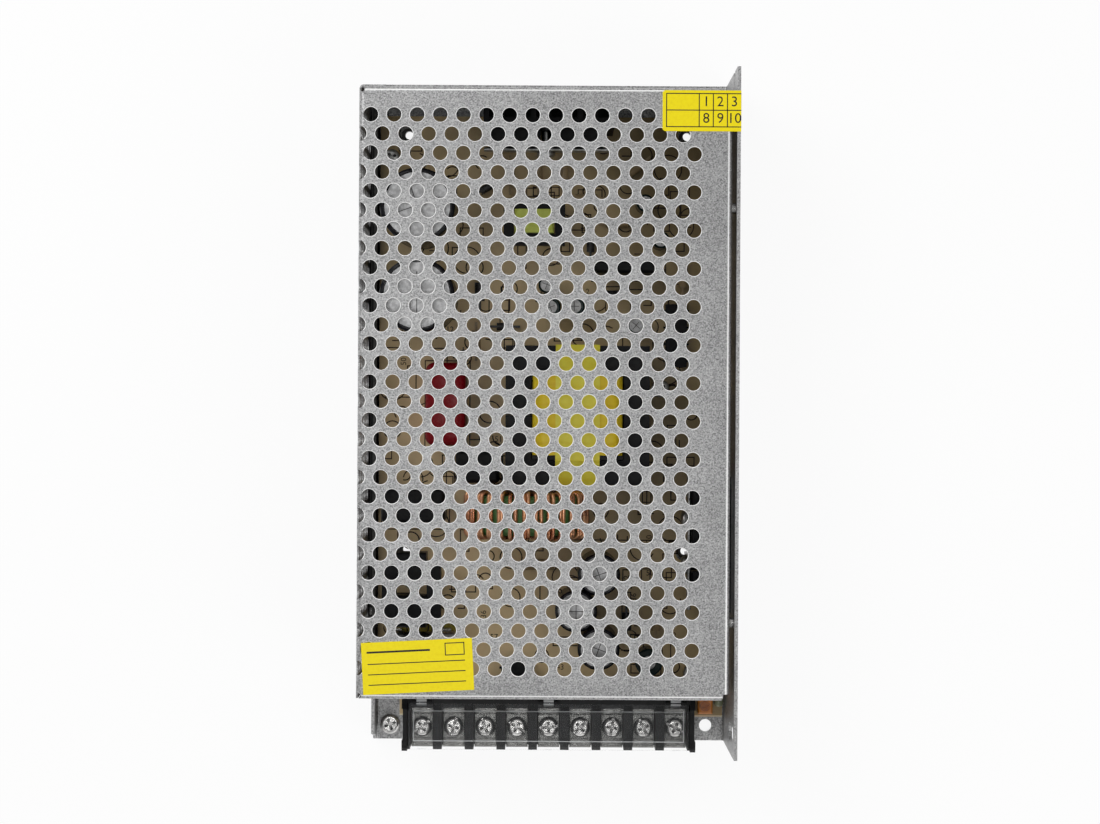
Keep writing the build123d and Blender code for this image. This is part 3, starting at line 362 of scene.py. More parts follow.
@dataclass(frozen=True)
class Bright:
    """Plated or bare metal with faint scratches and painted shade in its recesses."""

    name: str
    plating: Plating
    rough: float = 0.24
    recess: float = 1.3
    metallic: float = 1.0

    def material(self) -> bpy.types.Material:
        """Return the finish."""
        graph = Graph(self.name)
        scratch = graph.noise(0.5, 3.0, (1, 9, 1))
        stain = graph.noise(2.5, 2.0)
        color = self.plating.value
        dull = tuple(channel * 0.6 for channel in color)
        # deep is painted shade: ambient occlusion over recess millimetres darkens the metal towards it in recesses
        # and where parts meet.
        deep = tuple(channel * 0.04 for channel in color)
        face = graph.blend(stain.ramp(0.62, 0.3), dull, color)
        return graph.finish(
            graph.blend(graph.openness(self.recess).ramp(0.35, 0.9), deep, face),
            scratch * 0.18 + stain * 0.12 + (self.rough - 0.12),
            Metallic=self.metallic,
            Normal=graph.bump(scratch, 0.01),
        )


@dataclass(frozen=True)
class Moulded:
    """Moulded plastic, ceramic or lacquer with a fine surface."""

    name: str
    color: Color
    rough: float = 0.4
    grain: float = 0.35
    depth: float = 0.012
    dust: float = 0.06
    gloss: float = 0.5

    def material(self) -> bpy.types.Material:
        """Return the finish."""
        graph = Graph(self.name)
        skin = graph.noise(self.grain, 2.0)
        dirt = graph.noise(3.0, 4.0).ramp(0.45, 0.75)
        pale = tuple(channel + (0.55 - channel) * self.dust for channel in self.color)
        return graph.finish(
            graph.blend(dirt, self.color, pale),
            dirt * 0.12 + skin * 0.1 + (self.rough - 0.08),
            Specular_IOR_Level=self.gloss,
            Normal=graph.bump(skin, self.depth),
        )


@dataclass(frozen=True)
class Clear:
    """Clear moulding that is faint face on and shows at its edges."""

    name: str = "clear_moulding"
    color: Color = (0.86, 0.88, 0.89)
    face_alpha: float = 0.012
    edge_alpha: float = 0.22
    bevel_alpha: float = 0.45

    def material(self) -> bpy.types.Material:
        """Return the finish."""
        graph = Graph(self.name)
        slant = graph.node("ShaderNodeLayerWeight", None, {"Blend": 0.35}).outputs["Facing"]
        edge = Value(graph, slant)
        haze = graph.noise(4.0, 3.0)
        bevel = graph.level()
        bevel = (bevel > 0.3) * (bevel < 0.97)
        alpha = edge * (self.edge_alpha - self.face_alpha) + self.face_alpha + haze * 0.012
        return graph.finish(
            self.color,
            haze * 0.06 + 0.04,
            Alpha=alpha.most(bevel * self.bevel_alpha),
            Normal=graph.bump(graph.noise(6.0, 1.0), 0.03),
        )


@dataclass(frozen=True)
class Laminate:
    """Tan board laminate with painted shade that darkens it towards the right, the rear and the left edge, and an
    olive patch at the front left.
    """

    name: str = "tan_laminate"
    color: Color = (0.86, 0.62, 0.31)
    pale: Color = (0.96, 0.76, 0.46)
    # brown is the colour of the painted shade on the board.
    brown: Color = (0.27, 0.19, 0.075)
    edge: Color = (0.86, 0.76, 0.54)
    edge_width: float = 0.45
    patch: Color = (0.45, 0.36, 0.02)
    patch_centre: Point = (-36.5, -64.5)
    patch_reach: Point = (9.0, 3.0)

    def material(self) -> bpy.types.Material:
        """Return the finish."""
        graph = Graph(self.name)
        x, y, _ = graph.axes()
        fibre = graph.noise(0.7, 3.0, (1, 4, 1))
        cloud = graph.noise(9.0, 3.0)
        inside_x = (x - self.patch_centre[0]).size() < self.patch_reach[0]
        inside_y = (y - self.patch_centre[1]).size() < self.patch_reach[1]
        base = graph.blend(cloud * 0.7 + fibre * 0.3, self.color, self.pale)
        # Painted shade: darker towards the right, the rear and the left edge, where the cover and the walls shade
        # the board; the noise makes it patchy and adds a few darker stains.
        painted_shade = x.ramp(-5.0, 45.0) * 0.75 + y.ramp(20.0, 85.0) * 0.5 + x.ramp(-38.0, -52.0) * 0.6
        stain = (graph.noise(22.0, 2.0) - 0.5) * 0.9
        base = graph.blend((painted_shade + stain).ramp(0.0, 1.0), base, self.brown)
        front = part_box("circuit_board")[0][1] / MM
        base = graph.blend(y < front + self.edge_width, base, self.edge)
        return graph.finish(
            graph.blend(inside_x * inside_y, base, self.patch),
            fibre * 0.15 + 0.33,
            Normal=graph.bump(fibre, 0.01),
        )


@dataclass(frozen=True)
class Sleeved:
    """Capacitor cans in a dark sleeve that leaves the scored metal top bare."""

    name: str
    centres: tuple[Point, ...]
    bare_radius: float
    top: float
    sleeve: Color = (0.006, 0.006, 0.009)
    score: float = 0.16

    def material(self) -> bpy.types.Material:
        """Return the finish."""
        graph = Graph(self.name)
        x, y, z = graph.axes()
        reach: Value | None = None
        groove: Value | None = None
        for number, (centre_x, centre_y) in enumerate(self.centres):
            dx, dy = x - centre_x, y - centre_y
            distance = (dx * dx + dy * dy).root()
            reach = distance if reach is None else reach.least(distance)
            turn = math.radians(20 + 70 * number)
            along = (dx * math.cos(turn) + dy * math.sin(turn)).size()
            across = (dy * math.cos(turn) - dx * math.sin(turn)).size()
            score = along.least(across).ramp(self.score, self.score * 0.5) * (distance < self.bare_radius * 0.72)
            groove = score if groove is None else groove.most(score)
        bare = (reach < self.bare_radius) * (z > self.top)
        brushed = graph.noise(0.5, 3.0, (1, 5, 1))
        stain = graph.noise(1.4, 3.0).ramp(0.4, 0.62)
        light = Plating.CAN.value
        metal = graph.blend(stain * 0.7 + brushed * 0.3, tuple(c * 0.55 for c in light), light)
        metal = graph.blend(groove, metal, tuple(c * 0.12 for c in light))
        sheen = graph.noise(1.6, 2.0)
        return graph.finish(
            graph.blend(bare, self.sleeve, metal),
            bare * 0.16 + sheen * 0.16 + 0.16,
            Metallic=bare,
            Specular_IOR_Level=0.3,
            Normal=graph.bump(sheen * 0.6 + brushed * 0.4, 0.03),
        )


@dataclass(frozen=True)
class Wrap:
    """Adhesive tape wound round a coil, with the edges of its layers showing."""

    name: str
    color: Color
    dark: Color
    layer: float = 6.0

    def material(self) -> bpy.types.Material:
        """Return the finish."""
        graph = Graph(self.name)
        x, y, z = graph.axes()
        bands = graph.node("ShaderNodeTexWave", {"bands_direction": "Y"}, {
            "Vector": graph.place(), "Scale": 0.35 / self.layer, "Distortion": 3.0, "Detail": 1.0,
        })
        crease = Value(graph, bands.outputs["Fac"])
        soft = graph.noise(3.5, 2.0)
        return graph.finish(
            graph.blend(soft.ramp(0.35, 0.75) * 0.6 + crease.ramp(0.9, 1.0) * 0.3, self.color, self.dark),
            soft * 0.2 + 0.24,
            Specular_IOR_Level=0.25,
            Normal=graph.bump(soft * 0.7 + crease * 0.3, 0.15),
        )


@dataclass(frozen=True)
class Enamelled:
    """Copper wire under clear enamel."""

    name: str = "enamelled_copper"
    light: Color = (0.95, 0.50, 0.27)
    dark: Color = (0.60, 0.24, 0.12)

    def material(self) -> bpy.types.Material:
        """Return the finish."""
        graph = Graph(self.name)
        tone = graph.noise(5.0, 1.0)
        return graph.finish(
            graph.blend(tone.ramp(0.35, 0.65), self.dark, self.light),
            tone * 0.08 + 0.24,
            Metallic=0.95,
            Coat_Weight=tone * 0.2 + 0.3,
        )


@dataclass(frozen=True)
class Printed:
    """Flat printed colour, on a label or on the board, worn a little thin."""

    name: str
    color: Color
    worn: Color
    rough: float = 0.4
    gloss: float = 0.3

    def material(self) -> bpy.types.Material:
        """Return the finish."""
        graph = Graph(self.name)
        wear = graph.noise(0.8, 3.0)
        return graph.finish(
            graph.blend(wear.ramp(0.45, 0.85), self.color, self.worn),
            wear * 0.1 + (self.rough - 0.05),
            Specular_IOR_Level=self.gloss,
            Normal=graph.bump(graph.noise(5.0, 2.0), 0.02),
        )


class Tree:
    """A Geometry Nodes tree with named inputs."""

    def __init__(self, name: str, inputs: dict[str, tuple[str, object]]) -> None:
        """Start a tree.

        Args:
            name: The tree's name.
            inputs: Each input's socket type and value, by name.
        """
        self.group = bpy.data.node_groups.new(name, "GeometryNodeTree")
        face = self.group.interface
        face.new_socket("Geometry", in_out="INPUT", socket_type="NodeSocketGeometry")
        self.keys: dict[str, tuple[str, object]] = {}
        for label, (kind, value) in inputs.items():
            socket = face.new_socket(label, in_out="INPUT", socket_type=f"NodeSocket{kind}")
            self.keys[label] = (socket.identifier, value)
        face.new_socket("Geometry", in_out="OUTPUT", socket_type="NodeSocketGeometry")
        self.inputs = self.group.nodes.new("NodeGroupInput")

    def input(self, label: str) -> bpy.types.NodeSocket:
        """Return the socket of a named input."""
        return self.inputs.outputs[label]

    def node(self, kind: str, settings: dict | None = None, inputs: dict | None = None) -> bpy.types.Node:
        """Add one node.

        Args:
            kind: The node's type without its usual first word.
            settings: Its own options.
            inputs: Values, sockets or lists of sockets, by socket name or number.

        Returns:
            The node.
        """
        node = self.group.nodes.new(f"GeometryNode{kind}" if not kind.startswith("Shader") else kind)
        for key, value in (settings or {}).items():
            setattr(node, key, value)
        for key, value in (inputs or {}).items():
            for item in value if isinstance(value, list) else [value]:
                if isinstance(item, bpy.types.NodeSocket):
                    self.group.links.new(item, node.inputs[key])
                else:
                    node.inputs[key].default_value = item
        return node

    def math(self, operation: str, *terms: object) -> bpy.types.NodeSocket:
        """Add one Math node and return its result.

        Args:
            operation: The node's operation.
            terms: Its inputs in order.

        Returns:
            The result's socket.
        """
        return self.node("ShaderNodeMath", {"operation": operation}, dict(enumerate(terms))).outputs[0]

    def vector(self, x: object, y: object, z: object) -> bpy.types.NodeSocket:
        """Return a vector made of three numbers or sockets."""
        return self.node("ShaderNodeCombineXYZ", None, {0: x, 1: y, 2: z}).outputs[0]

    def close(self, geometry: bpy.types.NodeSocket) -> None:
        """End the tree with real geometry that carries the piece's material."""
        real = self.node("RealizeInstances", None, {"Geometry": geometry})
        inputs = {"Geometry": real.outputs[0], "Material": self.input("Material")}
        painted = self.node("SetMaterial", None, inputs)
        output = self.group.nodes.new("NodeGroupOutput")
        self.group.links.new(painted.outputs[0], output.inputs[0])

    def run(self, base: bpy.types.Object) -> bpy.types.Mesh:
        """Grow the tree on an object.

        Args:
            base: The object whose mesh the tree starts from; it is removed.

        Returns:
            The result as a plain mesh.
        """
        modifier = base.modifiers.new(self.group.name, "NODES")
        modifier.node_group = self.group
        for identifier, value in self.keys.values():
            modifier[identifier] = value
        bpy.context.view_layer.update()
        evaluated = base.evaluated_get(bpy.context.evaluated_depsgraph_get())
        mesh = bpy.data.meshes.new_from_object(evaluated)
        base.modifiers.remove(modifier)
        bpy.data.objects.remove(base)
        return mesh


def line_object(points: Sequence[Sequence[float]], closed: bool) -> bpy.types.Object:
    """Make an object of edges along points in millimetres.

    Args:
        points: The points.
        closed: Whether the last point joins the first.

    Returns:
        The object, linked to the scene.
    """
    mesh = bpy.data.meshes.new("line")
    count = len(points)
    edges = [(i, (i + 1) % count) for i in range(count if closed else count - 1)]
    mesh.from_pydata([Vector((*point, 0.0)[:3]) for point in points], edges, [])
    line = bpy.data.objects.new("line", mesh)
    bpy.context.scene.collection.objects.link(line)
    return line


def piece(
    name: str, mesh: bpy.types.Mesh, material: bpy.types.Material, body: str, replaced: Sequence[str] = ()
) -> bpy.types.Object:
    """Make a finished piece of a mesh in metres and let it ride on its body.

    Args:
        name: The piece's name.
        mesh: Its mesh, in place.
        material: Its finish.
        body: The body that it rides on.
        replaced: The nodes that it stands for.

    Returns:
        The object.
    """
    mesh.materials.clear()
    mesh.materials.append(material)
    mesh.name = name
    made = bpy.data.objects.new(name, mesh)
    bpy.context.scene.collection.objects.link(made)
    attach(made, body)
    if replaced:
        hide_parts(*replaced)
    log.info("%s: %d faces on %s", name, len(mesh.polygons), body)
    return made


def dress(material: bpy.types.Material, *nodes: str) -> None:
    """Give nodes of the frame a finish.

    Args:
        material: The finish.
        nodes: The nodes' names.
    """
    for node in nodes:
        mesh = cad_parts[node].data
        mesh.materials.clear()
        mesh.materials.append(material)
        log.info("%s: %s", node, material.name)


def to_mesh(form: bmesh.types.BMesh, smooth_below: float | None = None) -> bpy.types.Mesh:
    """Turn a form in millimetres into a mesh in metres.

    Args:
        form: The form, which is freed.
        smooth_below: Faces that meet at less than this angle, in degrees, are shaded as one surface.

    Returns:
        The mesh.
    """
    if smooth_below is not None:
        limit = math.radians(smooth_below)
        for face in form.faces:
            face.smooth = True
        for edge in form.edges:
            edge.smooth = edge.is_manifold and edge.calc_face_angle(0.0) < limit
    form.transform(Matrix.Scale(MM, 4))
    mesh = bpy.data.meshes.new("form")
    form.to_mesh(mesh)
    form.free()
    return mesh


def add_box(form: bmesh.types.BMesh, low: Sequence[float], high: Sequence[float]) -> list[bmesh.types.BMVert]:
    """Add a box between two corners to a form and return its vertices."""
    middle = [(a + b) / 2 for a, b in zip(low, high)]
    span = [b - a for a, b in zip(low, high)]
    matrix = Matrix.Translation(middle) @ Matrix.Diagonal((*span, 1.0))
    return bmesh.ops.create_cube(form, size=1.0, matrix=matrix)["verts"]


@dataclass
class PunchedCover:
    """The cover: a flat blank with a staggered lattice of round holes, folded down on four sides."""

    sheet: float = 0.6
    bend: float = 1.6
    wall_gap: float = 1.4
    hole_radius: float = 2.11
    rim: float = 0.18
    pitch: float = 6.66
    row_pitch: float = 5.5
    rows: int = 30
    columns: int = 15
    wall_columns: int = 6
    front_margin: float = 8.9
    side_margin: float = 3.45
    front_wall_bottom: float = 24.0
    flange: float = 9.0
    side_reach: float = 2.3
    butt_gap: float = 0.1
    tab_width: float = 9.5
    tab_bend: float = 1.2
    tab_drop: float = 2.0
    relief: float = 0.85
    bend_steps: int = 6
    hole_corners: int = 28

    def __post_init__(self) -> None:
        """Read the cover's outer planes from the frame."""
        low, high = [[v / MM for v in corner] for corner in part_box("cover")]
        self.left, self.front, self.bottom = low
        self.right = high[0] - self.wall_gap
        self.rear = high[1] - self.sheet
        self.top = high[2]
        self.arc = math.pi / 2 * self.bend
        self.flat_left = self.left + self.bend
        self.flat_right = self.right - self.bend
        self.flat_front = self.front + self.bend
        self.flat_rear = self.rear - self.bend
        self.fold_foot = self.top - self.bend
        self.tab_start = self.rear + self.sheet - self.tab_bend

    def corner_relief(self, x_side: int, y_side: int) -> list[Point]:
        """Return the round notch that keeps two folds apart at a corner of the top.

        Args:
            x_side: -1 for the left and 1 for the right.
            y_side: -1 for the front and 1 for the rear.

        Returns:
            Points from the side fold to the end fold.
        """
        corner_x = self.flat_left if x_side < 0 else self.flat_right
        corner_y = self.flat_front if y_side < 0 else self.flat_rear
        centre = (corner_x + x_side * self.relief * 0.9, corner_y + y_side * self.relief * 0.9)
        points = []
        for step in range(6):
            angle = math.radians(200 - 52 * step)
            points.append((
                centre[0] - x_side * self.relief * math.cos(angle),
                centre[1] - y_side * self.relief * math.sin(angle),
            ))
        return points

    def outline(self) -> list[Point]:
        """Return the blank's outline, anticlockwise from the left wall's foot."""
        wall = self.fold_foot - self.bottom
        left_end = self.flat_left - self.arc - wall
        right_end = self.flat_right + self.arc + self.flange - self.bend
        front_end = self.flat_front - self.arc - (self.fold_foot - self.front_wall_bottom)
        rear_end = self.flat_rear + self.arc + wall
        inner_left = self.left + self.sheet + self.butt_gap
        inner_right = self.right - self.side_reach
        tab_top = self.flat_left - self.arc - self.tab_drop + self.bend
        tab_end = self.tab_start + math.pi / 2 * self.tab_bend + self.tab_width - self.tab_bend
        side_front = self.front + self.butt_gap
        return [
            (left_end, side_front),
            (self.flat_left - self.arc, side_front),
            *self.corner_relief(-1, -1),
            (inner_left, self.flat_front - self.arc),
            (inner_left, front_end),
            (inner_right, front_end),
            (inner_right, self.flat_front - self.arc),
            (inner_right + 0.6, self.flat_front + 0.3),
            (self.flat_right + self.arc, self.flat_front + 0.3),
            (right_end - 1.0, self.flat_front + 1.0),
            (right_end, self.flat_front + 2.0),
            (right_end, self.flat_rear - 2.0),
            (right_end - 1.0, self.flat_rear - 1.0),
            (self.flat_right + self.arc, self.flat_rear - 0.3),
            (inner_right + 0.6, self.flat_rear - 0.3),
            (inner_right, self.flat_rear + self.arc),
            (inner_right, rear_end),
            (inner_left, rear_end),
            (inner_left, self.flat_rear + self.arc),
            *reversed(self.corner_relief(-1, 1)),
            (tab_top, self.tab_start),
            (tab_top, tab_end - self.tab_drop),
            (tab_top - self.tab_drop, tab_end),
            (left_end, tab_end),
        ]

    def punched_blank(self, material: bpy.types.Material) -> bpy.types.Mesh:
        """Punch the flat blank with a Geometry Nodes tree.

        Args:
            material: The sheet's finish.

        Returns:
            The blank in millimetres, its outer face at height 0.
        """
        columns = self.columns + self.wall_columns
        first_x = self.left + self.side_margin - self.wall_columns * self.pitch
        tree = Tree("punched_sheet", {
            "Hole Radius": ("Float", self.hole_radius),
            "Rim": ("Float", self.rim),
            "Sheet": ("Float", self.sheet),
            "Pitch": ("Float", self.pitch),
            "Row Pitch": ("Float", self.row_pitch),
            "Columns": ("Int", columns),
            "Rows": ("Int", self.rows),
            "First X": ("Float", first_x),
            "First Y": ("Float", self.front + self.front_margin),
            "Material": ("Material", material),
        })
        half_rows = tree.math("DIVIDE", tree.input("Rows"), 2.0)
        width = tree.math("MULTIPLY", tree.math("SUBTRACT", tree.input("Columns"), 1.0), tree.input("Pitch"))
        rise = tree.math("MULTIPLY", tree.input("Row Pitch"), 2.0)
        depth = tree.math("MULTIPLY", tree.math("SUBTRACT", half_rows, 1.0), rise)
        lattice = []
        for shift, lift in ((0.5, 0.0), (0.0, 1.0)):
            grid = tree.node("MeshGrid", None, {
                "Size X": width, "Size Y": depth, "Vertices X": tree.input("Columns"), "Vertices Y": half_rows,
            })
            x = tree.math("ADD", tree.input("First X"), tree.math("DIVIDE", width, 2.0))
            x = tree.math("SUBTRACT", x, tree.math("MULTIPLY", tree.input("Pitch"), shift))
            y = tree.math("ADD", tree.input("First Y"), tree.math("DIVIDE", depth, 2.0))
            y = tree.math("ADD", y, tree.math("MULTIPLY", tree.input("Row Pitch"), lift))
            place = {"Geometry": grid.outputs[0], "Translation": tree.vector(x, y, 0.0)}
            lattice.append(tree.node("Transform", None, place).outputs[0])
        points = tree.node("JoinGeometry", None, {0: lattice}).outputs[0]
        wide = tree.math("ADD", tree.input("Hole Radius"), tree.input("Rim"))
        outline = tree.node("MeshToCurve", None, {0: tree.input("Geometry")}).outputs[0]

        sheets = []
        for radius, drop in ((wide, 0.0), (tree.input("Hole Radius"), -1.0)):
            circle = tree.node("CurvePrimitiveCircle", None, {"Resolution": self.hole_corners, "Radius": radius})
            holes = tree.node("InstanceOnPoints", None, {"Points": points, "Instance": circle.outputs[0]})
            rings = tree.node("RealizeInstances", None, {0: holes.outputs[0]}).outputs[0]
            curves = tree.node("JoinGeometry", None, {0: [outline, rings]}).outputs[0]
            filled = tree.node("FillCurve", None, {"Curve": curves}).outputs[0]
            level = tree.vector(0.0, 0.0, tree.math("MULTIPLY", tree.input("Sheet"), drop))
            sheets.append(tree.node("Transform", None, {"Geometry": filled, "Translation": level}).outputs[0])

        straight = tree.math("SUBTRACT", tree.input("Sheet"), tree.input("Rim"))
        for upper, tall, level in (
            (wide, tree.input("Rim"), tree.math("MULTIPLY", tree.input("Rim"), -1.0)),
            (tree.input("Hole Radius"), straight, tree.math("MULTIPLY", tree.input("Sheet"), -1.0)),
        ):
            cone = tree.node("MeshCone", {"fill_type": "NONE"}, {
                "Vertices": self.hole_corners, "Radius Top": upper,
                "Radius Bottom": tree.input("Hole Radius"), "Depth": tall,
            })
            lifted = {"Geometry": cone.outputs[0], "Translation": tree.vector(0.0, 0.0, level)}
            ring = tree.node("Transform", None, lifted).outputs[0]
            walls = tree.node("InstanceOnPoints", None, {"Points": points, "Instance": ring})
            sheets.append(tree.node("RealizeInstances", None, {0: walls.outputs[0]}).outputs[0])

        down = tree.vector(0.0, 0.0, tree.math("MULTIPLY", tree.input("Sheet"), -1.0))
        rim_edges = {"Mesh": tree.input("Geometry"), "Offset": down, "Offset Scale": 1.0}
        sheets.append(tree.node("ExtrudeMesh", {"mode": "EDGES"}, rim_edges).outputs[0])
        whole = tree.node("JoinGeometry", None, {0: sheets}).outputs[0]
        tree.close(tree.node("MergeByDistance", None, {"Geometry": whole, "Distance": 0.001}).outputs[0])
        return tree.run(line_object(self.outline(), closed=True))

    def turn(self, distance: float, level: float, radius: float) -> tuple[float, float]:
        """Bend one point of the blank round a fold.

        Args:
            distance: How far the point lies past the start of the fold, along the outer face.
            level: The point's height, 0 on the outer face and negative inside.
            radius: The fold's outer radius.

        Returns:
            How far out and how far down the point ends, from the start of the fold on the outer face.
        """
        arc = math.pi / 2 * radius
        angle = min(distance, arc) / radius
        out = (radius + level) * math.sin(angle)
        down = radius - (radius + level) * math.cos(angle)
        return out, down + max(distance - arc, 0.0)

    def fold(self, u: float, v: float, w: float) -> Vector:
        """Return where a point of the blank lies on the folded cover.

        Args:
            u: Place across the blank.
            v: Place along the blank.
            w: Height, 0 on the outer face.

        Returns:
            The point in the row frame, in millimetres.
        """
        x, y, z = u, v, self.top + w
        if u < self.flat_left:
            out, down = self.turn(self.flat_left - u, w, self.bend)
            x, z = self.flat_left - out, self.top - down
            if v > self.tab_start and u < self.flat_left - self.arc:
                out, across = self.turn(v - self.tab_start, w, self.tab_bend)
                x, y = self.left + across, self.tab_start + out
        elif u > self.flat_right:
            out, down = self.turn(u - self.flat_right, w, self.bend)
            x, z = self.flat_right + out, self.top - down
        if v < self.flat_front and self.flat_left - 2 < u < self.flat_right + 2:
            out, down = self.turn(self.flat_front - v, w, self.bend)
            y, z = self.flat_front - out, self.top - down
        elif v > self.flat_rear and u > self.flat_left - 2:
            out, down = self.turn(v - self.flat_rear, w, self.bend)
            y, z = self.flat_rear + out, self.top - down
        return Vector((x, y, z))

    def build(self, material: bpy.types.Material) -> bpy.types.Object:
        """Punch, cut along the folds and fold.

        Args:
            material: The sheet's finish.

        Returns:
            The cover.
        """
        form = bmesh.new()
        form.from_mesh(self.punched_blank(material))
        bmesh.ops.recalc_face_normals(form, faces=form.faces)
        folds = [
            (Vector((1, 0, 0)), self.flat_left - self.arc, self.arc),
            (Vector((1, 0, 0)), self.flat_right, self.arc),
            (Vector((0, 1, 0)), self.flat_front - self.arc, self.arc),
            (Vector((0, 1, 0)), self.flat_rear, self.arc),
            (Vector((0, 1, 0)), self.tab_start, math.pi / 2 * self.tab_bend),
        ]
        for axis, start, length in folds:
            for step in range(self.bend_steps + 1):
                cut = axis * (start + length * step / self.bend_steps)
                parts = [*form.verts, *form.edges, *form.faces]
                bmesh.ops.bisect_plane(form, geom=parts, plane_co=cut, plane_no=axis, dist=1e-4)
        for vert in form.verts:
            vert.co = self.fold(*vert.co)
        return piece("punched_cover", to_mesh(form, 30.0), material, CASE, ["cover"])


@dataclass
class WoundChoke:
    """The output choke's winding: pairs of wires round a coated ring that stands on its rim."""

    outer: float = 17.2
    inner: float = 9.9
    depth: float = 11.4
    wire: float = 1.2
    slack: float = 0.2
    turns: int = 54
    gap_angle: float = 40.0
    pair_angle: float = 2.0
    corner: float = 1.5
    corner_steps: int = 5

    def loop(self) -> list[Point]:
        """Return one turn's path round the ring's section, radius first and depth second."""
        reach = self.slack + self.wire / 2
        low, high = self.inner - reach, self.outer + reach
        half = self.depth / 2 + reach
        points = []
        for x, y, start in ((high, half, 0), (low, half, 90), (low, -half, 180), (high, -half, 270)):
            cx = x - math.copysign(self.corner, x - (low + high) / 2)
            cy = y - math.copysign(self.corner, y)
            for step in range(self.corner_steps + 1):
                angle = math.radians(start + 90 * step / self.corner_steps)
                points.append((cx + self.corner * math.cos(angle), cy + self.corner * math.sin(angle)))
        return points

    def build(self, material: bpy.types.Material) -> bpy.types.Object:
        """Wind the ring with a Geometry Nodes tree.

        Args:
            material: The wire's finish.

        Returns:
            The winding.
        """
        tree = Tree("ring_winding", {
            "Wire": ("Float", self.wire),
            "Turns": ("Int", self.turns),
            "Start": ("Float", math.radians(270 + self.gap_angle / 2)),
            "Span": ("Float", math.radians(360 - self.gap_angle)),
            "Nudge": ("Float", math.radians(self.pair_angle)),
            "Seed": ("Int", 7),
            "Material": ("Material", material),
        })
        count = tree.input("Turns")
        line = tree.node("MeshLine", None, {"Count": count, "Offset": (0.0, 0.0, 0.0)})
        index = tree.node("InputIndex").outputs[0]
        last = tree.math("SUBTRACT", count, 1.0)
        step = tree.math("MULTIPLY", tree.math("DIVIDE", index, last), tree.input("Span"))
        parity = tree.math("MODULO", index, 2.0)
        nudge = tree.math("MULTIPLY", tree.math("SUBTRACT", parity, 0.5), tree.input("Nudge"))
        angle = tree.math("SUBTRACT", tree.math("ADD", tree.input("Start"), step), nudge)
        turn = tree.vector(0.0, tree.math("MULTIPLY", angle, -1.0), 0.0)
        path = tree.node("MeshToCurve", None, {0: tree.input("Geometry")}).outputs[0]
        circle = tree.node("CurvePrimitiveCircle", None, {
            "Resolution": 10, "Radius": tree.math("DIVIDE", tree.input("Wire"), 2.0),
        })
        wire = tree.node("CurveToMesh", None, {"Curve": path, "Profile Curve": circle.outputs[0]})
        turns = tree.node("InstanceOnPoints", None, {
            "Points": line.outputs[0], "Instance": wire.outputs[0], "Rotation": turn,
        })
        wobble = tree.group.nodes.new("FunctionNodeRandomValue")
        wobble.data_type = "FLOAT_VECTOR"
        wobble.inputs[0].default_value = (-0.015, -0.02, -0.015)
        wobble.inputs[1].default_value = (0.015, 0.02, 0.015)
        tree.group.links.new(tree.input("Seed"), wobble.inputs["Seed"])
        shaken = tree.node("RotateInstances", None, {
            "Instances": turns.outputs[0], "Rotation": wobble.outputs[0],
        })
        tree.close(shaken.outputs[0])
        path_points = [(radius, depth, 0.0) for radius, depth in self.loop()]
        mesh = tree.run(line_object(path_points, closed=True))

        form = bmesh.new()
        form.from_mesh(mesh)
        low, high = [[v / MM for v in corner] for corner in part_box("output_choke_core")]
        middle = [(a + b) / 2 for a, b in zip(low, high)]
        form.transform(Matrix.Translation(middle))
        self.add_leads(form, middle)
        bmesh.ops.recalc_face_normals(form, faces=form.faces)
        return piece(
            "choke_winding", to_mesh(form, 60.0), material, CASE, ["output_choke_winding"]
        )

    def add_leads(self, form: bmesh.types.BMesh, middle: Sequence[float]) -> None:
        """Add the straight ends that go down into the board.

        Args:
            form: The winding's form.
            middle: The ring's centre.
        """
        radius = self.outer + self.slack + self.wire / 2
        angle = math.radians(270 + self.gap_angle / 2)
        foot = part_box("circuit_board")[1][2] / MM
        for side in (-1, 1):
            top = middle[2] + radius * math.sin(angle)
            place = (middle[0] + side * radius * math.cos(angle), middle[1], (foot + top) / 2)
            bmesh.ops.create_cone(
                form, cap_ends=True, segments=12, radius1=self.wire / 2, radius2=self.wire / 2,
                depth=top - foot, matrix=Matrix.Translation(place),
            )


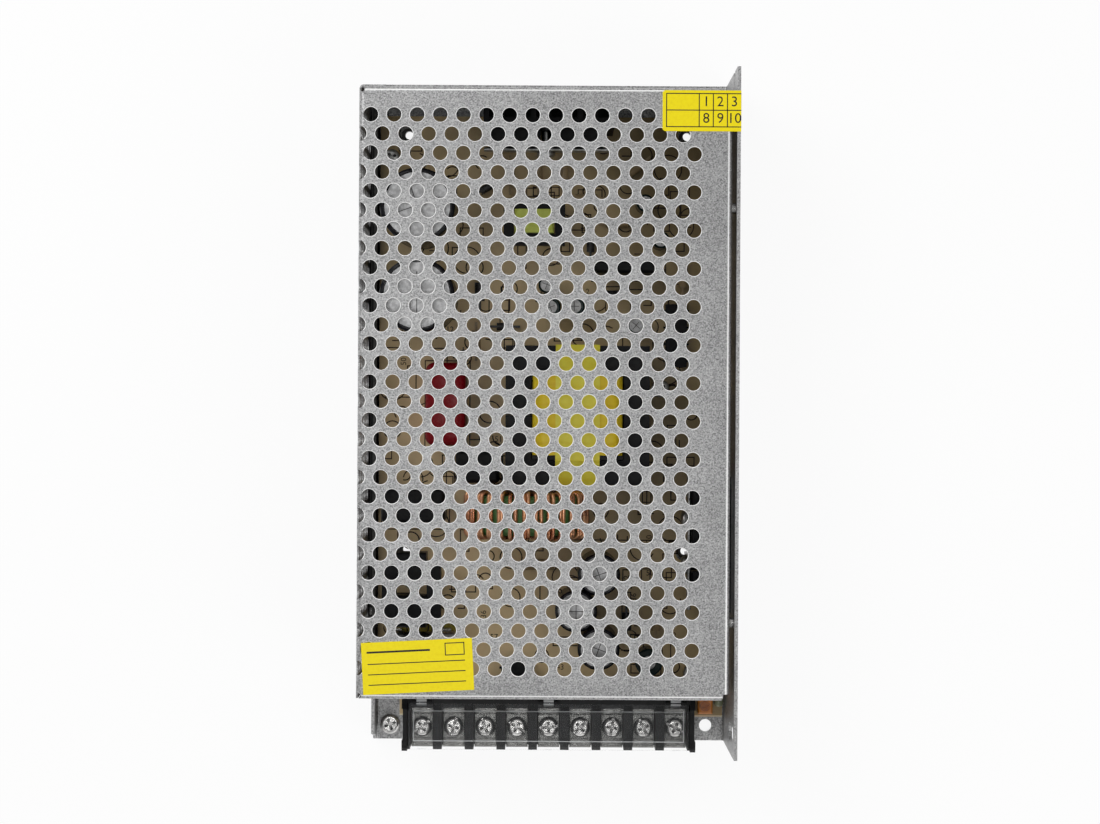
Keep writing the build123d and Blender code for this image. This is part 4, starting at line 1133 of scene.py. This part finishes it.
@dataclass
class FlatPrint:
    """Thin printed lines, rings and figures on a level surface."""

    level: float
    thickness: float = 0.02
    form: bmesh.types.BMesh = field(default_factory=bmesh.new)

    def bar(self, start: Point, end: Point, width: float) -> None:
        """Add a straight line.

        Args:
            start: One end.
            end: The other end.
            width: The line's width.
        """
        along = Vector((end[0] - start[0], end[1] - start[1], 0.0))
        middle = Vector(((start[0] + end[0]) / 2, (start[1] + end[1]) / 2, self.level + self.thickness / 2))
        turn = Matrix.Rotation(math.atan2(along.y, along.x), 4, "Z")
        size = Matrix.Diagonal((along.length + width, width, self.thickness, 1.0))
        bmesh.ops.create_cube(self.form, size=1.0, matrix=Matrix.Translation(middle) @ turn @ size)

    def path(self, points: Sequence[Point], width: float, closed: bool = False) -> None:
        """Add a line through several points.

        Args:
            points: The points.
            width: The line's width.
            closed: Whether it returns to its first point.
        """
        ends = list(points[1:]) + ([points[0]] if closed else [])
        for start, end in zip(points, ends):
            self.bar(start, end, width)

    def frame(self, low: Point, high: Point, width: float) -> None:
        """Add the outline of a rectangle."""
        self.path([low, (high[0], low[1]), high, (low[0], high[1])], width, closed=True)

    def ring(self, centre: Point, radius: float, width: float, first: float = 0.0, sweep: float = 360.0) -> None:
        """Add a circle or a part of one.

        Args:
            centre: Its centre.
            radius: Its radius.
            width: The line's width.
            first: The angle where it starts, in degrees.
            sweep: How far it goes round, in degrees.
        """
        steps = max(6, int(sweep / 15))
        points = []
        for step in range(steps + 1):
            angle = math.radians(first + sweep * step / steps)
            points.append((centre[0] + radius * math.cos(angle), centre[1] + radius * math.sin(angle)))
        self.path(points, width)

    def figure(self, text: str, centre: Point, height: float, turn: float = 0.0) -> None:
        """Add a number.

        Args:
            text: The digits.
            centre: The middle of the number.
            height: The height of a digit.
            turn: Its rotation in degrees.
        """
        curve = bpy.data.curves.new("figure", "FONT")
        curve.body = text
        curve.align_x = "CENTER"
        curve.align_y = "CENTER"
        curve.size = height / 0.7
        curve.resolution_u = 3
        holder = bpy.data.objects.new("figure", curve)
        bpy.context.scene.collection.objects.link(holder)
        bpy.context.view_layer.update()
        mesh = bpy.data.meshes.new_from_object(holder.evaluated_get(bpy.context.evaluated_depsgraph_get()))
        bpy.data.objects.remove(holder)
        place = Matrix.Translation((*centre, self.level + self.thickness))
        mesh.transform(place @ Matrix.Rotation(math.radians(turn), 4, "Z"))
        self.form.from_mesh(mesh)
        bpy.data.meshes.remove(mesh)

    def build(self, name: str, material: bpy.types.Material, slot: str) -> bpy.types.Object:
        """Make the print one piece.

        Args:
            name: The piece's name.
            material: The ink.
            slot: Not used.

        Returns:
            The print.
        """
        return piece(name, to_mesh(self.form), material, CASE)


@dataclass
class Labels:
    """The two yellow stickers: a grid of numbers at the rear that folds down the side, and a ruled one in front."""

    line: float = 0.28
    reach: float = 22.6
    first_cell: float = 9.4
    cell: float = 4.06
    cells: int = 7
    margin_left: float = 1.16
    margin_rear: float = 0.93
    margin_front: float = 1.3
    figure_height: float = 2.9
    film: float = 0.08
    corner: float = 0.6
    rule_rows: tuple[float, ...] = (1.2, -1.8, -4.8)

    def build(self, ink: bpy.types.Material, paper: bpy.types.Material) -> None:
        """Lay and print both labels.

        Args:
            ink: The black print.
            paper: The yellow film.
        """
        low, high = [[v / MM for v in corner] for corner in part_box("grid_label")]
        self.edge, self.rear = high[0], high[1]
        self.left, self.front, self.level = self.edge - self.reach, low[1], low[2]
        self.length = self.margin_left * 2 + self.first_cell + self.cells * self.cell
        dress(paper, "plain_label")
        self.lay_grid(paper)
        self.print_grid(ink)
        self.print_rules(ink)

    def folded(self, form: bmesh.types.BMesh) -> bpy.types.Mesh:
        """Fold what lies past the case's edge down its side.

        Args:
            form: A flat form that lies on the case's top and reaches past its right edge.

        Returns:
            The folded mesh.
        """
        parts = [*form.verts, *form.edges, *form.faces]
        plane = {"plane_co": Vector((self.edge, 0, 0)), "plane_no": Vector((1, 0, 0)), "dist": 1e-4}
        bmesh.ops.bisect_plane(form, geom=parts, **plane)
        for vert in form.verts:
            past = vert.co.x - self.edge
            above = vert.co.z - self.level
            if past > 1e-3:
                vert.co = Vector((self.edge + above, vert.co.y, self.level - past))
            elif past > -1e-3:
                vert.co.x += above
        return to_mesh(form)

    def lay_grid(self, paper: bpy.types.Material) -> None:
        """Lay the film of the grid label over the edge of the case."""
        form = bmesh.new()
        x0, x1 = self.left, self.left + self.length
        y0, y1, cut = self.front, self.rear, self.corner
        outline = [
            (x0 + cut, y0), (x1 - cut, y0), (x1, y0 + cut), (x1, y1 - cut),
            (x1 - cut, y1), (x0 + cut, y1), (x0, y1 - cut), (x0, y0 + cut),
        ]
        bottom = form.faces.new([form.verts.new((x, y, self.level)) for x, y in outline])
        grown = bmesh.ops.extrude_face_region(form, geom=[bottom])["geom"]
        for vert in grown:
            if isinstance(vert, bmesh.types.BMVert):
                vert.co.z += self.film
        bmesh.ops.recalc_face_normals(form, faces=form.faces)
        piece("grid_label_film", self.folded(form), paper, CASE, ["grid_label"])

    def print_grid(self, ink: bpy.types.Material) -> None:
        """Print the ruled numbers, first flat and then folded with the film."""
        sheet = FlatPrint(level=self.level + self.film - 0.005)
        x0, x1 = self.left + self.margin_left, self.left + self.length - self.margin_left
        y0, y1 = self.front + self.margin_front, self.rear - self.margin_rear
        middle = (y0 + y1) / 2
        for y in (y0, middle, y1):
            sheet.bar((x0, y), (x1, y), self.line)
        sheet.bar((x0, y0), (x0, y1), self.line)
        for number in range(1, self.cells + 2):
            x = x0 + self.first_cell + (number - 1) * self.cell
            sheet.bar((x, y0), (x, y1), self.line)
            if number <= self.cells:
                for value, y in ((number, (middle + y1) / 2), (number + self.cells, (y0 + middle) / 2)):
                    sheet.figure(str(value), (x + self.cell / 2, y), self.figure_height)
        piece("grid_label_print", self.folded(sheet.form), ink, CASE)

    def print_rules(self, ink: bpy.types.Material) -> None:
        """Print blank writing lines on the front label, which lies a little askew."""
        low, high = [[v / MM for v in corner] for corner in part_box("plain_label")]
        centre = ((low[0] + high[0]) / 2, (low[1] + high[1]) / 2)
        sheet = FlatPrint(level=high[2] - 0.015)
        turn = math.radians(3.0)

        def askew(x: float, y: float) -> Point:
            """Turn a point of the label to where it lies."""
            return (
                centre[0] + x * math.cos(turn) - y * math.sin(turn),
                centre[1] + x * math.sin(turn) + y * math.cos(turn),
            )

        for y in self.rule_rows:
            sheet.bar(askew(-14.2, y), askew(13.6, y), self.line)
        sheet.bar(askew(-14.2, 4.6), askew(3.5, 4.6), 2 * self.line)
        sheet.path([askew(8.2, 2.9), askew(13.6, 2.9), askew(13.6, 6.3), askew(8.2, 6.3)], self.line, closed=True)
        sheet.build("plain_label_print", ink, "black_moulding")


@dataclass
class BoardPrint:
    """Outlines, arcs and figures printed on the board round its parts."""

    line: float = 0.34
    margin: float = 0.8
    seed: int = 21
    marks: int = 260
    boxed: tuple[str, ...] = ("film_capacitor", "filter_capacitor", "inrush_relay", "bridge_rectifier")

    def build(self, ink: bpy.types.Material) -> bpy.types.Object:
        """Print the board.

        Args:
            ink: The dark print.

        Returns:
            The print.
        """
        low, high = [[v / MM for v in corner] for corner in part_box("circuit_board")]
        sheet = FlatPrint(level=high[2])
        for node in self.boxed:
            part_low, part_high = [[v / MM for v in corner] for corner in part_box(node)]
            m = self.margin
            sheet.frame((part_low[0] - m, part_low[1] - m), (part_high[0] + m, part_high[1] + m), self.line)
        draw = random.Random(self.seed)
        for _ in range(self.marks):
            x = draw.uniform(-48.0, 44.0)
            y = draw.uniform(-80.0, 82.0)
            kind = draw.randrange(5)
            size = draw.uniform(1.6, 4.2)
            if kind == 0:
                sheet.ring((x, y), size, self.line)
            elif kind == 1:
                sheet.frame((x - size, y - 1.3), (x + size, y + 1.3), self.line)
            elif kind == 2:
                sheet.path([(x - size, y), (x, y), (x, y + size)], self.line)
            elif kind == 3:
                sheet.ring((x, y), size, self.line, draw.uniform(0, 360), 180)
            else:
                sheet.frame((x - 1.3, y - size), (x + 1.3, y + size), self.line)
        for _ in range(40):
            place = (draw.uniform(-50.0, 40.0), draw.uniform(-80.0, 82.0))
            sheet.figure(str(draw.randrange(1, 60)), place, 1.7, draw.choice((0.0, 90.0)))
        for x0, y0, x1, y1 in ((-50, -35, -30, -35), (-50, 5, -42, 5), (-50, 20, -42, 20), (5, -38, 40, -38)):
            sheet.bar((x0, y0), (x1, y1), self.line)
        return sheet.build("board_print", ink, "black_moulding")


@dataclass
class Studio:
    """Camera straight above the case, soft lamps and a pale floor."""

    camera_height: float = 833.0
    centre: Point = (0.5, 0.75)
    roll: float = 0.33
    focal_pixels: float = 2720.0
    image_width: float = 1100.0
    sensor: float = 36.0
    floor_half: float = 3000.0
    sky: tuple[tuple[float, Color], ...] = (
        (0.12, (0.95, 0.95, 0.95)), (0.30, (0.58, 0.58, 0.58)),
        (0.88, (0.50, 0.50, 0.50)), (0.985, (0.26, 0.26, 0.26)),
    )
    # gap_low and gap_high bound the strip of floor under the left wall that is painted dark as shade.
    gap_low: Point = (-55.8, -81.0)
    gap_high: Point = (-50.0, 94.0)

    def build(self) -> None:
        """Place the camera, the lamps and the floor."""
        self.add_camera()
        self.add_world()
        self.add_floor()
        self.add_lamp("key", (-440, 420, 620), 500, 3.4)
        self.add_lamp("fill", (560, -380, 560), 500, 2.0)
        self.add_lamp("top", (-60, -40, 1150), 200, 0.8)

    def add_camera(self) -> None:
        """Set the camera so that the case fills the frame as it should."""
        data = bpy.data.cameras.new("camera")
        data.sensor_width = self.sensor
        data.lens = self.focal_pixels / self.image_width * self.sensor
        data.clip_start = 0.01
        camera = bpy.data.objects.new("camera", data)
        camera.location = (self.centre[0] * MM, self.centre[1] * MM, self.camera_height * MM)
        camera.rotation_euler = (0.0, 0.0, math.radians(self.roll))
        bpy.context.scene.collection.objects.link(camera)
        bpy.context.scene.camera = camera

    def add_world(self) -> None:
        """Light the scene with a soft pale world that is white where the camera sees it."""
        world = bpy.data.worlds.new("studio")
        world.use_nodes = True
        tree = world.node_tree
        background = tree.nodes["Background"]
        spot = tree.nodes.new("ShaderNodeTexCoord")
        parts = tree.nodes.new("ShaderNodeSeparateXYZ")
        ramp = tree.nodes.new("ShaderNodeValToRGB")
        fill_ramp(ramp.color_ramp, self.sky)
        tree.links.new(spot.outputs["Generated"], parts.inputs[0])
        tree.links.new(parts.outputs[2], ramp.inputs[0])
        tree.links.new(ramp.outputs[0], background.inputs[0])
        background.inputs[1].default_value = 1.0
        bpy.context.scene.world = world
        bpy.context.scene.view_settings.view_transform = "Standard"

    def add_floor(self) -> None:
        """Lay the floor, which is as white as paper in the camera and in reflections, except for a strip under the
        case's left wall that is painted nearly black as shade.
        """
        graph = Graph("studio_floor")
        path = graph.node("ShaderNodeLightPath")
        seen = Value(graph, path.outputs["Is Camera Ray"]).most(Value(graph, path.outputs["Is Glossy Ray"]))
        seen = seen.most(Value(graph, path.outputs["Is Transmission Ray"]))
        x, y, _ = graph.axes()
        # Painted shade: the strip under the left wall gets no glow and a nearly black colour.
        gap = (x > self.gap_low[0]) * (x < self.gap_high[0]) * (y > self.gap_low[1]) * (y < self.gap_high[1])
        seen = seen * (1 - gap)
        color = graph.blend(gap, (0.82, 0.82, 0.82), (0.03, 0.03, 0.03))
        diffuse = graph.node("ShaderNodeBsdfDiffuse", None, {0: color})
        glow = graph.node("ShaderNodeEmission", None, {0: (1.0, 1.0, 1.0, 1.0), 1: 1.0})
        mixed = graph.node("ShaderNodeMixShader", None, {0: seen * 0.9, 1: diffuse.outputs[0], 2: glow.outputs[0]})
        graph.node("ShaderNodeOutputMaterial", None, {"Surface": mixed.outputs[0]})
        form = bmesh.new()
        half = self.floor_half
        add_box(form, (-half, -half, -10.0), (half, half, -0.02))
        mesh = to_mesh(form)
        mesh.materials.append(graph.material)
        floor = bpy.data.objects.new("floor", mesh)
        bpy.context.scene.collection.objects.link(floor)

    def add_lamp(self, name: str, place: Sequence[float], size: float, power: float) -> None:
        """Add one soft square lamp that points at the case.

        Args:
            name: The lamp's name.
            place: Where it hangs, in millimetres.
            size: Its side.
            power: Its power in watts.
        """
        data = bpy.data.lights.new(name, "AREA")
        data.size = size * MM
        data.energy = power
        lamp = bpy.data.objects.new(name, data)
        lamp.location = Vector(place) * MM
        lamp.rotation_euler = (-Vector(place)).to_track_quat("-Z", "Y").to_euler()
        bpy.context.scene.collection.objects.link(lamp)


@dataclass
class Interior:
    """The parts on the board, each with its finish."""

    bulk_centres: tuple[Point, ...] = ((-38.5, 60.8), (-38.5, 34.6))
    output_centres: tuple[Point, ...] = ((15.2, -47.1), (8.5, -57.9), (15.2, -69.0))
    small_centres: tuple[Point, ...] = (
        (0.4, 32.1), (7.6, 32.4), (-0.6, 38.9), (26.1, 26.8), (28.6, 63.5), (33.4, 52.5), (30.5, -74.0),
    )

    def build(self) -> None:
        """Dress the parts."""
        dress(Laminate().material(), "circuit_board")
        dress(Sleeved("bulk_can", self.bulk_centres, 9.6, 40.5).material(), "bulk_capacitors")
        dress(Sleeved("output_can", self.output_centres, 5.2, 32.4).material(), "output_capacitors")
        small = Sleeved("small_can", self.small_centres, 2.0, 18.5, (0.010, 0.022, 0.020), 0.12)
        dress(small.material(), "small_capacitors")
        ferrite = Moulded("ferrite", (0.010, 0.010, 0.012), 0.45, 0.5, 0.02, 0.03, 0.2)
        dress(ferrite.material(), "main_transformer_core", "small_transformer_core", "filter_choke_core")
        dress(Wrap("amber_tape", (0.96, 0.72, 0.03), (0.86, 0.58, 0.02)).material(), "main_transformer_winding")
        dress(Wrap("yellow_tape", (0.96, 0.86, 0.09), (0.90, 0.74, 0.05)).material(), "main_transformer_tape")
        dress(Wrap("lime_tape", (0.66, 0.74, 0.15), (0.50, 0.56, 0.08)).material(), "small_transformer_winding")
        black = Moulded("black_part", (0.006, 0.006, 0.007), 0.4, dust=0.02, gloss=0.2).material()
        dress(
            black, "main_transformer_bobbin", "filter_choke_coils", "filter_capacitor", "inrush_relay",
            "bridge_rectifier", "primary_transistors", "output_rectifiers", "control_chips",
        )
        dress(Moulded("green_coating", (0.10, 0.24, 0.07), 0.5, 0.6, 0.04).material(), "output_choke_core")
        dress(Moulded("red_dip", (0.26, 0.004, 0.010), 0.3, 1.5, 0.05, 0.0, 0.2).material(), "film_capacitor")
        sink = Moulded("anodised_sink", (0.006, 0.006, 0.007), 0.5, 0.3, 0.02, 0.02, 0.2)
        dress(sink.material(), "rear_heatsink")
        dress(Bright("sink_bar", Plating.BARE, 0.42).material(), "output_heatsink")
        dress(Bright("clamp_steel", Plating.TIN, 0.3).material(), "clamp_bars", "board_standoffs", "inner_screws")
        dress(Moulded("resistor_body", (0.42, 0.30, 0.16), 0.35).material(), "resistors")
        dress(Moulded("diode_body", (0.03, 0.03, 0.03), 0.3).material(), "diodes")
        dress(Moulded("film_sheet", (0.5, 0.48, 0.42), 0.3).material(), "insulation_sheet")
        dress(Bright("fuse_cap", Plating.TIN, 0.25).material(), "fuse")


@dataclass
class Terminals:
    """The terminal strip, its metal and its clear flap, with the trimmer and the lamp beside it."""

    count: int = 9

    def build(self) -> None:
        """Dress the strip."""
        black = Moulded("strip_moulding", (0.004, 0.004, 0.0045), 0.35, 0.8, 0.02, 0.02, 0.2).material()
        dress(black, "terminal_block")
        nickel = Bright("terminal_nickel", Plating.POLISHED, 0.16, 1.3, 0.8).material()
        dress(nickel, *[f"terminal_screw_{number}" for number in range(1, self.count + 1)])
        tin = Bright("terminal_tin", Plating.DULL, 0.22).material()
        dress(tin, "terminal_plates", *[f"terminal_clamp_{number}" for number in range(1, self.count + 1)])
        dress(Clear().material(), "terminal_cover")
        dress(Moulded("amber_moulding", (0.78, 0.26, 0.03), 0.3).material(), "trimmer_body")
        dress(Moulded("amber_rotor", (0.50, 0.14, 0.015), 0.3).material(), "trimmer_rotor")
        dress(Moulded("lamp_lens", (0.22, 0.24, 0.15), 0.12, 2.0, 0.01, 0.0).material(), "indicator_lamp")


def main() -> None:
    """Build the case's own pieces, then the labels, the inside and the studio."""
    logging.basicConfig(level=logging.INFO, format="%(name)s %(message)s")
    zinc = Zinc().material()
    dress(zinc, "chassis")
    PunchedCover().build(zinc)
    screw = Bright("case_screw", Plating.POLISHED, 0.18, 1.3, 0.85).material()
    dress(screw, "cover_screws", "base_screw")
    Terminals().build()
    Interior().build()
    WoundChoke().build(Enamelled().material())
    board_ink = Printed("board_ink", (0.035, 0.018, 0.01), (0.10, 0.06, 0.03)).material()
    BoardPrint().build(board_ink)
    paper = Printed("yellow_film", (0.80, 0.66, 0.0), (0.74, 0.58, 0.0), 0.4).material()
    ink = Printed("label_ink", (0.01, 0.01, 0.01), (0.03, 0.03, 0.03)).material()
    Labels().build(ink, paper)
    Studio().build()


if __name__ == "__main__":
    main()
